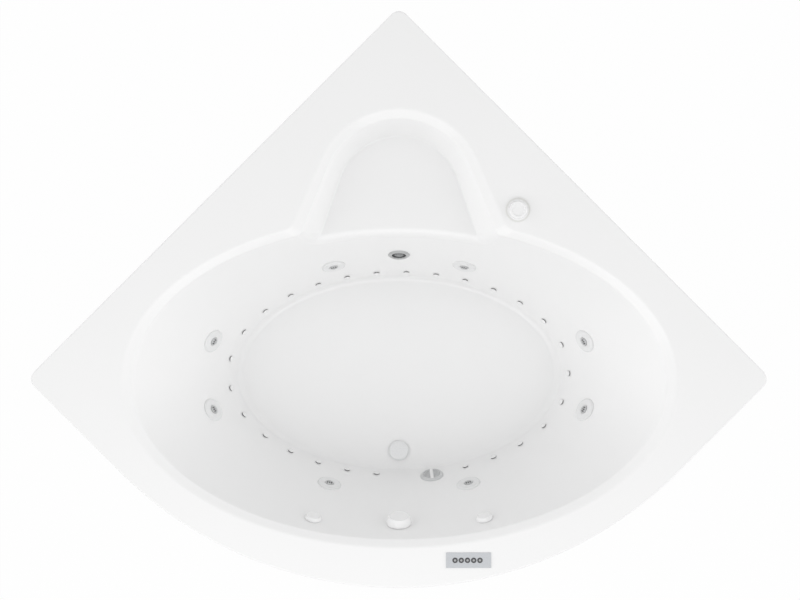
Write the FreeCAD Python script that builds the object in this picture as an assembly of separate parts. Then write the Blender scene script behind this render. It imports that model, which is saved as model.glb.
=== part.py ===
import FreeCAD, Part
import os
from math import atan, ceil, cos, degrees, pi, radians, sin, sqrt, tan

# Corner bath with hydro jets and air jets, standing in the right angle of two walls.
# Origin: under the middle of the bath's outline, on the floor it stands on.
# +Z is up, +Y points into the wall corner, +X is to the right of a bather facing that corner.
# All sizes are in millimetres.

V = FreeCAD.Vector
ROOT2 = sqrt(2.0)

# ---------------------------------------------------------------- outline and deck
wall_side = 1524.0           # length of the bath along each room wall
front_radius = 1143.0        # bow of the front edge
corner_radius = 30.0         # the three outer corners
deck_height = 560.0          # top of the deck above the floor
skin = 6.0                   # acrylic with its glass-fibre backing
lip_drop = 45.0              # how far the outer edge turns down

# ---------------------------------------------------------------- basin
floor_height = 140.0         # basin floor above the room's floor
floor_half_length = 492.8
floor_half_width = 294.8
floor_centre_y = -226.4
floor_cove = 25.0             # radius between floor and wall, drawn as narrow bands
cove_bands = 3
wall_bands = 6               # level bands that the wall is drawn in
rim_half_length = 805.7      # where the rim roll meets the flat deck
rim_half_width = 479.7
rim_centre_y = -238.4
rim_roll = 18.0
crease_drop = 15.0           # from the deck down to the bend between the rim band and the steep wall
rim_band_length = 30.1       # how much smaller the basin is at that bend than at the deck
rim_band_width = 22.0
rim_band_shift = 0.6

# ---------------------------------------------------------------- seat in the wall corner
seat_drop = 90.0             # from the deck down to the seat's flat
seat_flat_centre_y = 296.0
seat_flat_splay = 19.0       # degrees that the seat's sides open towards the basin
seat_crease_centre_y = 302.0
seat_crease_splay = 22.0
seat_rim_radius = 247.0
seat_band = 25.0             # how much smaller the seat is at the bend than at the deck
seat_wall_flare = 39.0       # and how much smaller again at its flat
seat_rim_centre_y = 305.0
seat_rim_splay = 23.5
seat_nose_radius = 36.0
nose_pad_depth = 26.0        # thicker laminate behind the seat's nose

# ---------------------------------------------------------------- underside
underside_strips = 48        # the sprayed backing follows the basin in flat strips

# ---------------------------------------------------------------- clearances
seat_gap = 0.3               # between pieces that are seated on each other
running_gap = 0.3            # round a piece that turns or slides in its seat
shaft_gap = 0.05             # round a shaft in its bearing

# ---------------------------------------------------------------- strips and bends
round_strips = 32            # flat strips that draw a round knob or ring
small_round_strips = 24      # and a nozzle or push button
mitre_turn = 31.0            # most degrees that a pipe turns at one mitre

# ---------------------------------------------------------------- outline geometry
corner_reach = wall_side / ROOT2
apex_y = (wall_side * ROOT2 - (front_radius - corner_radius) * (ROOT2 - 1)) / 2
side_corner_y = apex_y - corner_reach
front_centre_y = apex_y - (wall_side - front_radius) * ROOT2
crease_height = deck_height - crease_drop
crease_half_length = rim_half_length - rim_band_length
crease_half_width = rim_half_width - rim_band_width
crease_centre_y = rim_centre_y + rim_band_shift
seat_height = deck_height - seat_drop
seat_crease_radius = seat_rim_radius - seat_band
seat_flat_radius = seat_crease_radius - seat_wall_flare
wall_rise = crease_height - floor_height
side_lean = atan((crease_half_length - floor_half_length) / wall_rise)
end_lean = atan((crease_half_width - floor_half_width) / wall_rise)

os.makedirs("parts", exist_ok=True)


def save(node, shapes):
    """Write one node. A node with like pieces holds them as separate solids."""
    if isinstance(shapes, list):
        shape = Part.makeCompound(shapes) if len(shapes) > 1 else shapes[0]
    else:
        shape = shapes
    shape.exportStep("parts/%s.step" % node)


def box(x0, x1, y0, y1, z0, z1):
    return Part.makeBox(x1 - x0, y1 - y0, z1 - z0, V(x0, y0, z0))


def disc(radius, z0, z1, x=0.0, y=0.0):
    return Part.makeCylinder(radius, z1 - z0, V(x, y, z0))


def cone(radius0, radius1, z0, z1, strips=round_strips):
    """A round piece, straight or tapered, drawn as narrow flat strips."""
    rings = []
    for radius, z in ((radius0, z0), (radius1, z1)):
        angles = [2 * pi * i / strips for i in range(strips)]
        points = [V(radius * cos(angle), radius * sin(angle), z) for angle in angles]
        rings.append(Part.makePolygon(points + points[:1]))
    return Part.makeLoft(rings, True, True)


def ring(outer, inner, z0, z1):
    return disc(outer, z0, z1).cut(disc(inner, z0 - 1, z1 + 1))


def hexagon(across_flats, z0, z1, x=0.0, y=0.0):
    corner = across_flats / sqrt(3.0)
    points = [V(x + corner * cos(i * pi / 3), y + corner * sin(i * pi / 3), z0) for i in range(7)]
    return Part.Face(Part.makePolygon(points)).extrude(V(0, 0, z1 - z0))


def prism(wire, height):
    return Part.Face(wire).extrude(V(0, 0, height))


def placed(shape, placement):
    moved = shape.copy()
    moved.Placement = placement.multiply(moved.Placement)
    return moved


def moved_to(shape, x, y, z):
    return placed(shape, FreeCAD.Placement(V(x, y, z), FreeCAD.Rotation()))


def turned(angle):
    """Placement that turns a shape about +Z."""
    return FreeCAD.Placement(V(0, 0, 0), FreeCAD.Rotation(V(0, 0, 1), angle))


def mirrored(shape):
    """The same piece on the other side of the bath's centre plane."""
    return shape.mirror(V(0, 0, 0), V(1, 0, 0))


def mitred_pipe(corners, radius):
    """Straight lengths of pipe joined at mitred corners, closed at both ends."""
    path = Part.makePolygon(corners)
    section = Part.Wire([Part.Circle(corners[0], corners[1] - corners[0], radius).toShape()])
    return path.makePipeShell([section], True, False, 1)


def pipe(points, radius, bend_radius):
    """A round pipe whose bends are drawn as short lengths that touch an arc of bend_radius."""
    corners = [points[0]]
    for before, corner, after in zip(points, points[1:], points[2:]):
        back = (before - corner).normalize()
        ahead = (after - corner).normalize()
        turn = pi - back.getAngle(ahead)
        mitres = ceil(degrees(turn) / mitre_turn)
        arc_start = corner + back * (bend_radius * tan(turn / 2))
        centre = corner + (back + ahead).normalize() * (bend_radius / cos(turn / 2))
        outward = (arc_start - centre).normalize()
        reach = bend_radius / cos(turn / (2 * mitres))
        for i in range(mitres):
            angle = turn * (i + 0.5) / mitres
            corners.append(centre + outward * (reach * cos(angle)) - back * (reach * sin(angle)))
    return mitred_pipe(corners + points[-1:], radius)


# ---------------------------------------------------------------- the bath's surfaces
def outline(inset, z):
    """The plan outline: two walls at a right angle, two short straight fronts and the bow."""
    bow = front_radius - inset
    end = V(bow / ROOT2, front_centre_y - bow / ROOT2, z)
    apex = V(0, apex_y - inset * ROOT2, z)
    side = V(corner_reach - inset * ROOT2, side_corner_y, z)
    radius = max(corner_radius - inset, 1.0)

    def rounded(corner, before, after):
        back = (before - corner).normalize()
        ahead = (after - corner).normalize()
        half_angle = back.getAngle(ahead) / 2
        reach = radius / tan(half_angle)
        middle = corner + (back + ahead).normalize() * (radius / sin(half_angle) - radius)
        return corner + back * reach, middle, corner + ahead * reach

    left_side = V(-side.x, side.y, z)
    left_end = V(-end.x, end.y, z)
    top = rounded(apex, left_side, side)
    right = rounded(side, apex, end)
    left = rounded(left_side, left_end, apex)
    bow_middle = V(0, front_centre_y - bow, z)
    return Part.Wire([
        Part.Arc(*top).toShape(),
        Part.LineSegment(top[2], right[0]).toShape(),
        Part.Arc(*right).toShape(),
        Part.LineSegment(right[2], end).toShape(),
        Part.Arc(end, bow_middle, left_end).toShape(),
        Part.LineSegment(left_end, left[0]).toShape(),
        Part.Arc(*left).toShape(),
        Part.LineSegment(left[2], top[0]).toShape(),
    ])


def oval(half_length, half_width, centre_y, z):
    return Part.Wire([Part.Ellipse(V(0, centre_y, z), half_length, half_width).toShape()])


def strip_oval(half_length, half_width, centre_y, z):
    """A level ring of strips round the basin, just outside the oval of these sizes."""
    step = 2 * pi / underside_strips
    reach_x = half_length / cos(step / 2)
    reach_y = half_width / cos(step / 2)
    angles = [i * step for i in range(underside_strips)]
    points = [V(reach_x * cos(angle), centre_y + reach_y * sin(angle), z) for angle in angles]
    return Part.makePolygon(points + points[:1])


def basin_sizes(z, grow=0.0):
    """Half length, half width and centre of the basin's wall at height z, moved out by grow."""
    share = (z - floor_height) / wall_rise
    half_length = floor_half_length + share * (crease_half_length - floor_half_length)
    half_width = floor_half_width + share * (crease_half_width - floor_half_width)
    centre_y = floor_centre_y + share * (crease_centre_y - floor_centre_y)
    return half_length + grow / cos(side_lean), half_width + grow / cos(end_lean), centre_y


def basin_oval(z):
    half_length, half_width, centre_y = basin_sizes(z)
    return oval(half_length, half_width, centre_y, z)


def cove_ovals():
    """Level ovals from the flat floor up the cove to where it meets the wall."""
    turn = pi / 2 - (side_lean + end_lean) / 2
    ovals = []
    for band in range(cove_bands):
        angle = turn * band / cove_bands
        inset = floor_cove * (tan(turn / 2) - sin(angle))
        ovals.append(oval(floor_half_length - inset, floor_half_width - inset, floor_centre_y,
                          floor_height + floor_cove * (1 - cos(angle))))
    ovals.append(basin_oval(floor_height + floor_cove * (1 - cos(turn))))
    return ovals


def arch(radius, centre_y, splay, z):
    """Plan of the seat recess: a round back and two sides that open towards the basin."""
    lean = radians(splay)
    mouth_y = floor_centre_y + floor_half_width / 2
    right = V(radius * cos(lean), centre_y + radius * sin(lean), z)
    right_end = V(right.x + (right.y - mouth_y) * tan(lean), mouth_y, z)
    left = V(-right.x, right.y, z)
    left_end = V(-right_end.x, mouth_y, z)
    return Part.Wire([
        Part.LineSegment(right_end, right).toShape(),
        Part.Arc(right, V(0, centre_y + radius, z), left).toShape(),
        Part.LineSegment(left, left_end).toShape(),
        Part.LineSegment(left_end, right_end).toShape(),
    ])


def seat_arches(grow):
    """Level arches of the seat recess, moved out by grow: the flat, the crease and the deck edge."""
    seat_lean = atan((seat_crease_radius - seat_flat_radius) / (crease_height - seat_height))
    out = grow / cos(seat_lean)
    return [
        arch(seat_flat_radius + out, seat_flat_centre_y, seat_flat_splay, seat_height - grow),
        arch(seat_crease_radius + out, seat_crease_centre_y, seat_crease_splay, crease_height - grow),
        arch(seat_rim_radius, seat_rim_centre_y, seat_rim_splay, deck_height - grow),
    ]


def bath_hollow():
    """The space inside basin and seat, carried on above the deck so that it cuts the deck open."""
    rim_oval = oval(rim_half_length, rim_half_width, rim_centre_y, deck_height)
    arches = seat_arches(0.0)
    crease_oval = basin_oval(crease_height)
    coves = cove_ovals()
    wall_foot = coves[-1].BoundBox.ZMax
    levels = [wall_foot + (crease_height - wall_foot) * i / wall_bands for i in range(1, wall_bands)]
    basin = Part.makeLoft(coves + [basin_oval(z) for z in levels] + [crease_oval], True, True)
    body = basin.fuse([
        Part.makeLoft([crease_oval, rim_oval], True, True),
        Part.makeLoft(arches, True, True),
        prism(rim_oval, lip_drop),
        prism(arches[-1], lip_drop),
    ]).removeSplitter()

    def is_nose_edge(edge):
        bounds = edge.BoundBox
        level = abs(bounds.ZMin - seat_height) < 1 and abs(bounds.ZMax - seat_height) < 1
        return level and bounds.YMax < seat_flat_centre_y - 2 * seat_nose_radius

    return body.makeFillet(seat_nose_radius, [e for e in body.Edges if is_nose_edge(e)])


def bath_underside():
    """Basin and seat seen from below: the hollow moved out by the skin's thickness."""
    ovals = [
        strip_oval(*basin_sizes(floor_height - skin, skin), floor_height - skin),
        strip_oval(*basin_sizes(crease_height - skin, skin), crease_height - skin),
        strip_oval(rim_half_length, rim_half_width, rim_centre_y, deck_height - skin),
    ]
    _, nose_width, nose_centre = basin_sizes(seat_height, skin)
    nose_y = nose_centre + nose_width
    nose_pad = box(-seat_flat_radius, seat_flat_radius, nose_y - 2 * skin - nose_pad_depth,
                   nose_y + nose_pad_depth, seat_height - nose_pad_depth, seat_height)
    return Part.makeLoft(ovals, True, True).fuse([Part.makeLoft(seat_arches(skin), True, True), nose_pad])


def wall_spot(turn, height):
    """Seat of a fitting on the basin wall. turn is the angle round the oval in degrees, height
    is above the basin floor. Local +Z points into the bath and local +Y up along the wall."""
    z = floor_height + height
    half_length, half_width, centre_y = basin_sizes(z)
    angle = radians(turn)
    point = V(half_length * cos(angle), centre_y + half_width * sin(angle), z)
    along = V(-half_length * sin(angle), half_width * cos(angle), 0).normalize()
    low = basin_sizes(floor_height)
    high = basin_sizes(crease_height)
    rise = V((high[0] - low[0]) * cos(angle), high[2] - low[2] + (high[1] - low[1]) * sin(angle), wall_rise)
    normal = rise.cross(along).normalize()
    if normal.z < 0:
        normal = normal * -1
    upward = normal.cross(along).normalize()
    if upward.z < 0:
        upward = upward * -1
    side = upward.cross(normal)
    matrix = FreeCAD.Matrix(side.x, upward.x, normal.x, point.x,
                            side.y, upward.y, normal.y, point.y,
                            side.z, upward.z, normal.z, point.z,
                            0, 0, 0, 1)
    return FreeCAD.Placement(matrix)


def rim_lift(turn, height, radius):
    """How far the curved wall stands in front of its own tangent plane at a radius from the seat."""
    half_length, half_width, _ = basin_sizes(floor_height + height)
    angle = radians(turn)
    stretch = sqrt((half_length * sin(angle)) ** 2 + (half_width * cos(angle)) ** 2)
    bend = stretch ** 3 / (half_length * half_width)
    return radius ** 2 / (2 * bend)


def clear_of_basin(turn, gap, z):
    """A point at height z, outside the basin by a level gap."""
    half_length, half_width, centre_y = basin_sizes(z)
    angle = radians(turn)
    outward = V(half_width * cos(angle), half_length * sin(angle), 0).normalize()
    return V(half_length * cos(angle), centre_y + half_width * sin(angle), z) + outward * gap


def through_wall(spot, radius):
    """Round hole for a fitting, straight through the wall at its seat."""
    return placed(disc(radius, -skin * 3, skin * 3), spot)


# ---------------------------------------------------------------- where the fittings sit
jet_height = 141.0           # above the basin floor
jet_turns = [17.35, 70.4, 109.6, 162.65, 197.35, 249.1, 290.9, 342.65]
injector_height = 42.0
injector_places = 29         # equal steps along the oval
injector_left_out = [22, 23]  # the two steps above and beside the suction
light_turn = 90.0
light_height = 178.4
suction_turn = -79.1
suction_height = 59.4
overflow_turn = -90.0
overflow_drop = 99.5         # below the deck
wall_knob_turn = 69.9
wall_knob_drop = 77.7
drain_inset = 52.8           # from the floor's front edge
deck_knob_x = 344.3
deck_knob_y = 259.1
panel_x = 201.4
panel_setback = 36.3         # in front of the basin's rim

overflow_height = deck_height - overflow_drop - floor_height
wall_knob_height = deck_height - wall_knob_drop - floor_height
drain_y = floor_centre_y - floor_half_width + drain_inset
panel_y = rim_centre_y - rim_half_width - panel_setback


def injector_turns():
    """Angles of equal arc steps round the oval at the injectors' height."""
    half_length, half_width, centre_y = basin_sizes(floor_height + injector_height)
    steps = 2880
    lengths = [0.0]
    for i in range(steps):
        middle = (i + 0.5) * 2 * pi / steps
        lengths.append(lengths[-1] + sqrt((half_length * sin(middle)) ** 2 + (half_width * cos(middle)) ** 2))
    turns = []
    step = 0
    for place in range(injector_places):
        target = lengths[-1] * place / injector_places
        while lengths[step + 1] <= target:
            step += 1
        share = (target - lengths[step]) / (lengths[step + 1] - lengths[step])
        if place not in injector_left_out:
            turns.append((step + share) * 360.0 / steps)
    return turns


jet_spots = [wall_spot(turn, jet_height) for turn in jet_turns]
injector_spots = [wall_spot(turn, injector_height) for turn in injector_turns()]
light_spot = wall_spot(light_turn, light_height)
suction_spot = wall_spot(suction_turn, suction_height)
overflow_spot = wall_spot(overflow_turn, overflow_height)
wall_knob_spots = [wall_spot(-180 + wall_knob_turn, wall_knob_height),
                   wall_spot(-wall_knob_turn, wall_knob_height)]

# ---------------------------------------------------------------- hole sizes, shared by shell and fittings
jet_barrel_radius = 24.0
light_barrel_radius = 26.0
suction_barrel_radius = 28.0
overflow_barrel_radius = 28.0
drain_throat_radius = 24.0
wall_valve_radius = 16.0
deck_valve_radius = 20.0
panel_length = 130.0
panel_width = 44.0
panel_thickness = 2.0
panel_margin = 9.0
behind_wall = 11.0           # depth at which nuts and bodies start behind the wall's face


def tub_shell():
    body = prism(outline(0, deck_height - lip_drop), lip_drop)
    body = body.cut(prism(outline(skin, deck_height - lip_drop - 1), lip_drop + 1 - skin))
    body = body.fuse(bath_underside()).cut(bath_hollow())

    def is_rim_edge(edge):
        bounds = edge.BoundBox
        level = abs(bounds.ZMin - deck_height) < 0.1 and abs(bounds.ZMax - deck_height) < 0.1
        inside = bounds.XMax < rim_half_length + 1 and bounds.XMin > -rim_half_length - 1
        return level and inside and bounds.YMax < seat_rim_centre_y + seat_rim_radius + 1 and \
            bounds.YMin > rim_centre_y - rim_half_width - 1

    body = body.makeFillet(rim_roll, [e for e in body.Edges if is_rim_edge(e)])
    holes = [through_wall(spot, jet_barrel_radius + seat_gap) for spot in jet_spots]
    holes.append(through_wall(light_spot, light_barrel_radius + seat_gap))
    holes.append(through_wall(suction_spot, suction_barrel_radius + seat_gap))
    holes.append(through_wall(overflow_spot, overflow_barrel_radius + seat_gap))
    holes += [through_wall(spot, wall_valve_radius + seat_gap) for spot in wall_knob_spots]
    holes.append(disc(drain_throat_radius + seat_gap, floor_height - 2 * skin, floor_height + skin,
                      0, drain_y))
    holes.append(disc(deck_valve_radius + seat_gap, deck_height - 2 * skin, deck_height + skin,
                      deck_knob_x, deck_knob_y))
    cut_length = panel_length / 2 - panel_margin + seat_gap
    cut_width = panel_width / 2 - panel_margin + seat_gap
    holes.append(box(panel_x - cut_length, panel_x + cut_length, panel_y - cut_width, panel_y + cut_width,
                     deck_height - 2 * skin, deck_height + skin))
    return body.cut(holes)


save("tub_shell", tub_shell())

# ---------------------------------------------------------------- base board and rim battens
board_thickness = 18.0
board_margin = 12.0          # how far the board stays inside the flat floor
shoe_hole_margin = 1.0       # round the drain shoe, which passes through the board
batten_width = 50.0
batten_thickness = 15.0
batten_end = 70.0            # kept clear at both ends of each wall
lip_clearance = 2.0

board_top = floor_height - skin
board_bottom = board_top - board_thickness
shoe_radius = 30.0
under_deck = deck_height - skin


def base_board():
    plan = oval(floor_half_length - board_margin, floor_half_width - board_margin, floor_centre_y,
                board_bottom)
    hole = disc(shoe_radius + shoe_hole_margin, board_bottom - 1, board_top + 1, 0, drain_y)
    return prism(plan, board_thickness).cut(hole)


def wall_point(along, inward, z):
    """A point given along the right-hand room wall from the corner, and inward from it."""
    return V((along - inward) / ROOT2, apex_y - (along + inward) / ROOT2, z)


def rim_batten():
    near = skin + lip_clearance
    far = near + batten_width
    z = under_deck - batten_thickness
    corners = [wall_point(batten_end, near, z), wall_point(wall_side - batten_end, near, z),
               wall_point(wall_side - batten_end, far, z), wall_point(batten_end, far, z)]
    return prism(Part.makePolygon(corners + corners[:1]), batten_thickness)


save("base_board", base_board())
save("rim_battens", [rim_batten(), mirrored(rim_batten())])

# ---------------------------------------------------------------- steel frame, feet and brackets
rail_width = 40.0
rail_depth = 30.0
tube_wall = 2.0
long_rail_x = 230.0
long_rail_front = -460.0
long_rail_back = 440.0
cross_rail_y = -230.0
cross_rail_reach = 985.0
front_rail_y = -380.0
front_rail_reach = 330.0
back_rail_y = 400.0
back_rail_reach = 260.0
apex_arm_end = 740.0
post_size = 30.0
foot_inset = 60.0            # from a side post to its foot
front_foot_inset = 50.0      # from the end of the front rail to its foot
apex_foot_inset = 20.0       # from the post in the corner to its foot
side_post_x = 950.0
apex_post_y = 720.0
post_plate = 4.0
post_plate_margin = 9.0
foot_pad_radius = 25.0
foot_pad_height = 8.0
foot_rod_radius = 6.0
foot_nut_flats = 18.0
foot_nut_height = 10.0
bracket_width = 30.0
bracket_thickness = 5.0
apron_inset = 3.0
apron_thickness = 4.0
apron_bottom = 8.0
apron_top_gap = 2.0

long_top = board_bottom
long_bottom = long_top - rail_depth
cross_bottom = long_bottom - rail_depth
foot_places = [(side_post_x - foot_inset, cross_rail_y, cross_bottom),
               (foot_inset - side_post_x, cross_rail_y, cross_bottom),
               (front_rail_reach - front_foot_inset, front_rail_y, cross_bottom),
               (front_foot_inset - front_rail_reach, front_rail_y, cross_bottom),
               (0.0, apex_post_y - apex_foot_inset, long_bottom)]


def rail_along_x(reach, y, z):
    half = rail_width / 2
    outer = box(-reach, reach, y - half, y + half, z, z + rail_depth)
    inner = box(-reach - 1, reach + 1, y - half + tube_wall, y + half - tube_wall, z + tube_wall,
                z + rail_depth - tube_wall)
    return outer.cut(inner)


def rail_along_y(x, y0, y1, z):
    half = rail_width / 2
    outer = box(x - half, x + half, y0, y1, z, z + rail_depth)
    inner = box(x - half + tube_wall, x + half - tube_wall, y0 - 1, y1 + 1, z + tube_wall,
                z + rail_depth - tube_wall)
    return outer.cut(inner)


def frame_rails():
    return [
        rail_along_y(-long_rail_x, long_rail_front, long_rail_back, long_bottom),
        rail_along_y(long_rail_x, long_rail_front, long_rail_back, long_bottom),
        rail_along_x(cross_rail_reach, cross_rail_y, cross_bottom),
        rail_along_x(front_rail_reach, front_rail_y, cross_bottom),
        rail_along_x(back_rail_reach, back_rail_y, cross_bottom),
        rail_along_y(0.0, back_rail_y - rail_width / 2, apex_arm_end, long_bottom),
    ]


def frame_post(x, y, z0):
    half = post_size / 2
    outer = box(x - half, x + half, y - half, y + half, z0, under_deck - post_plate)
    inner = box(x - half + tube_wall, x + half - tube_wall, y - half + tube_wall, y + half - tube_wall,
                z0 - 1, under_deck - post_plate)
    reach = half + post_plate_margin
    plate = box(x - reach, x + reach, y - half, y + half, under_deck - post_plate, under_deck)
    return outer.cut(inner).fuse(plate)


def levelling_foot(x, y, top):
    pad = disc(foot_pad_radius, 0, foot_pad_height, x, y)
    return pad.fuse(disc(foot_rod_radius, foot_pad_height, top, x, y))


def foot_nut(x, y, top):
    nut = hexagon(foot_nut_flats, top - foot_nut_height, top, x, y)
    return nut.cut(disc(foot_rod_radius + shaft_gap, top - foot_nut_height - 1, top + 1, x, y))


def apron_brackets():
    half = bracket_width / 2
    inner_bow = front_radius - apron_inset - apron_thickness - seat_gap
    reach_y = front_centre_y - sqrt(inner_bow ** 2 - (long_rail_x + half) ** 2)
    front_plate = reach_y + bracket_thickness
    low = long_bottom + tube_wall
    front = box(long_rail_x - half, long_rail_x + half, front_plate - bracket_thickness, long_rail_front,
                low, low + bracket_thickness)
    upright = box(long_rail_x - half, long_rail_x + half, reach_y, front_plate, low, low + bracket_width * 2)
    front = front.fuse(upright)
    slant = corner_reach - side_corner_y - (apron_inset + apron_thickness + seat_gap) * ROOT2
    side_end = slant + cross_rail_y - half
    side = box(cross_rail_reach, side_end, cross_rail_y - half, cross_rail_y + half, cross_bottom + tube_wall,
               cross_bottom + tube_wall + bracket_thickness)
    return [front, mirrored(front), side, mirrored(side)]


save("frame_rails", frame_rails())
save("frame_posts", [frame_post(side_post_x, cross_rail_y, long_bottom),
                     frame_post(-side_post_x, cross_rail_y, long_bottom),
                     frame_post(0.0, apex_post_y, long_top)])
save("levelling_feet", [levelling_foot(*place) for place in foot_places])
save("foot_nuts", [foot_nut(*place) for place in foot_places])
save("apron_brackets", apron_brackets())

# ---------------------------------------------------------------- bow-fronted apron
apron_flange = 20.0
apron_end_gap = 35.0         # from each room wall to the end of the apron


def apron_panel():
    top = deck_height - lip_drop - apron_top_gap
    inner = apron_inset + apron_thickness
    panel = prism(outline(apron_inset, apron_bottom), top - apron_bottom)
    panel = panel.cut(prism(outline(inner + apron_flange, apron_bottom - 1), top - apron_bottom + 2))
    hollow_height = top - apron_bottom - 2 * apron_thickness
    panel = panel.cut(prism(outline(inner, apron_bottom + apron_thickness), hollow_height))
    edge = apex_y - apron_end_gap * ROOT2
    far = 2 * wall_side
    keep_out = [V(0, edge, 0), V(far, edge - far, 0), V(far, far, 0), V(-far, far, 0),
                V(-far, edge - far, 0)]
    return panel.cut(prism(Part.makePolygon(keep_out + keep_out[:1]), deck_height))


save("apron_panel", apron_panel())

# ---------------------------------------------------------------- drain, overflow and their cable
drain_bore_radius = 20.0
drain_flange_radius = 30.0
drain_flange_height = 2.5
drain_throat_depth = 24.0
plug_radius = 31.25
plug_thickness = 4.0
plug_stem_radius = 5.0
guide_bar_width = 6.0        # bar across the flange's throat that guides the plug's stem
guide_boss_radius = 8.0
shoe_bottom = 75.0
gasket_thickness = 1.0
waste_radius = 19.05         # pipe of 1 1/2 inch
waste_bottom = 15.0
overflow_pipe_z = 92.0
overflow_pipe_bend = 47.625  # two and a half times the pipe's radius
pipe_in_shoe = 2.0           # overlap with the shoe before the pipe is trimmed to it
overflow_body_radius = 32.0
overflow_body_depth = 54.0
overflow_axis_depth = 34.0
overflow_cap_radius = 37.0
overflow_cap_face_radius = 30.0
overflow_cap_height = 25.0
overflow_shaft_radius = 6.0
cable_radius = 3.5
cable_offset = 26.0
cable_bend = 70.0

shoe_top = board_top - gasket_thickness
throat_bottom = floor_height - drain_throat_depth


def drain_flange():
    body = ring(drain_flange_radius, drain_bore_radius, floor_height, floor_height + drain_flange_height)
    body = body.fuse(ring(drain_throat_radius, drain_bore_radius, throat_bottom, floor_height))
    bar = box(-drain_bore_radius, drain_bore_radius, -guide_bar_width / 2, guide_bar_width / 2,
              throat_bottom, throat_bottom + plug_thickness)
    boss_top = throat_bottom + 2 * plug_thickness
    guide = bar.fuse(disc(guide_boss_radius, throat_bottom, boss_top))
    guide = guide.cut(disc(plug_stem_radius + shaft_gap, throat_bottom - 1, boss_top + 1))
    return moved_to(body.fuse(guide), 0, drain_y, 0)


def drain_plug():
    low = floor_height + drain_flange_height + seat_gap
    cap = disc(plug_radius, low, low + plug_thickness)
    return moved_to(cap.fuse(disc(plug_stem_radius, shoe_bottom + drain_bore_radius, low)), 0, drain_y, 0)


def drain_shoe():
    cup = disc(shoe_radius, shoe_bottom, shoe_top)
    cup = cup.cut(disc(drain_throat_radius + seat_gap, throat_bottom - seat_gap, shoe_top + 1))
    cup = cup.cut(disc(drain_bore_radius, shoe_bottom + plug_thickness, shoe_top))
    return moved_to(cup, 0, drain_y, 0)


def waste_gaskets():
    under_floor = ring(shoe_radius, drain_throat_radius + seat_gap, shoe_top, board_top)
    behind = placed(ring(overflow_body_radius, overflow_barrel_radius + seat_gap,
                         -behind_wall, -behind_wall + gasket_thickness), overflow_spot)
    return [moved_to(under_floor, 0, drain_y, 0), behind]


overflow_lift = rim_lift(overflow_turn, overflow_height, overflow_cap_radius)
overflow_axis = overflow_spot.multVec(V(0, 0, -overflow_axis_depth))


def overflow_body():
    body = disc(overflow_body_radius, -overflow_body_depth, -behind_wall)
    body = body.fuse(disc(overflow_barrel_radius, -behind_wall, overflow_lift))
    body = body.cut(disc(overflow_shaft_radius + shaft_gap, -overflow_body_depth / 2, overflow_lift + 1))
    return placed(body, overflow_spot)


def overflow_knob():
    low = overflow_lift + running_gap
    cap = cone(overflow_cap_radius, overflow_cap_face_radius, low, low + overflow_cap_height)
    shaft = disc(overflow_shaft_radius, running_gap - overflow_body_depth / 2, low)
    return placed(cap.fuse(shaft), overflow_spot)


def overflow_pipe():
    start = V(0, overflow_axis.y, overflow_axis.z)
    end = V(0, drain_y - shoe_radius + pipe_in_shoe, overflow_pipe_z)
    return pipe([start, V(0, start.y, overflow_pipe_z), end], waste_radius, overflow_pipe_bend)


def trimmed_overflow_pipe():
    body_outside = placed(disc(overflow_body_radius, -overflow_body_depth, -behind_wall), overflow_spot)
    shoe_outside = disc(shoe_radius, shoe_bottom, shoe_top, 0, drain_y)
    return overflow_pipe().cut([body_outside, shoe_outside])


def plug_cable():
    top = V(cable_offset, overflow_axis.y, overflow_axis.z)
    bend = V(cable_offset, overflow_axis.y, overflow_pipe_z)
    end = V(cable_offset, drain_y, overflow_pipe_z)
    body_outside = placed(disc(overflow_body_radius, -overflow_body_depth, -behind_wall), overflow_spot)
    shoe_outside = disc(shoe_radius, shoe_bottom, shoe_top, 0, drain_y)
    cable = pipe([top, bend, end], cable_radius, cable_bend)
    print("plug cable bend radius", cable_bend)
    return cable.cut([body_outside, shoe_outside])


def waste_tailpiece():
    return disc(waste_radius, waste_bottom, shoe_bottom, 0, drain_y)


save("drain_flange", drain_flange())
save("drain_plug", drain_plug())
save("drain_shoe", drain_shoe())
save("waste_gaskets", waste_gaskets())
save("overflow_body", overflow_body())
save("overflow_knob", overflow_knob())
save("overflow_pipe", trimmed_overflow_pipe())
save("plug_cable", plug_cable())
save("waste_tailpiece", waste_tailpiece())

# ---------------------------------------------------------------- jet pump, on a tray across the long rails
pump_y = 330.0
pump_tray_thickness = 3.0
pump_tray_width = 170.0
pump_foot_height = 25.0
foot_half_width = 56.0
foot_margin = 10.0
foot_plate = 4.0
cradle_thickness = 15.0
cradle_drop = 35.0           # top of the cradles below the motor's axis
motor_radius = 70.0
motor_front = 60.0           # positions along the pump's axis, measured from the bath's centre plane
motor_back = -110.0
fan_cover_back = -160.0
fan_cover_wall = 3.0
wet_end_radius = 85.0
wet_end_front = 122.0
wet_end_wall = 12.0
impeller_radius = 55.0
impeller_thickness = 18.0
pump_shaft_radius = 7.0
pump_port_radius = 30.0
inlet_end = 150.0
rib_turns = [75.0, 105.0, 135.0, 225.0, 255.0, 285.0]   # round the motor, from straight down
rib_height = 8.0
rib_thickness = 3.0
fan_blades = 6
fan_radius = 56.0
fan_width = 14.0
grille_slots = 8
grille_slot_length = 38.5
terminal_length = 70.0
terminal_width = 60.0
terminal_height = 35.0
terminal_foot = 49.0         # from the motor's axis up to where the box starts, inside the motor's round
gland_radius = 9.0

pump_z = long_top + pump_tray_thickness + pump_foot_height + motor_radius
pump_spot = FreeCAD.Placement(V(0, pump_y, pump_z), FreeCAD.Rotation(V(0, 1, 0), 90))
manifold_z = 252.0
manifold_radius = 17.0


def along_pump(shape):
    """Stand a shape drawn round +Z on the pump's axis, which runs towards +X."""
    return placed(shape, pump_spot)


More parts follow.
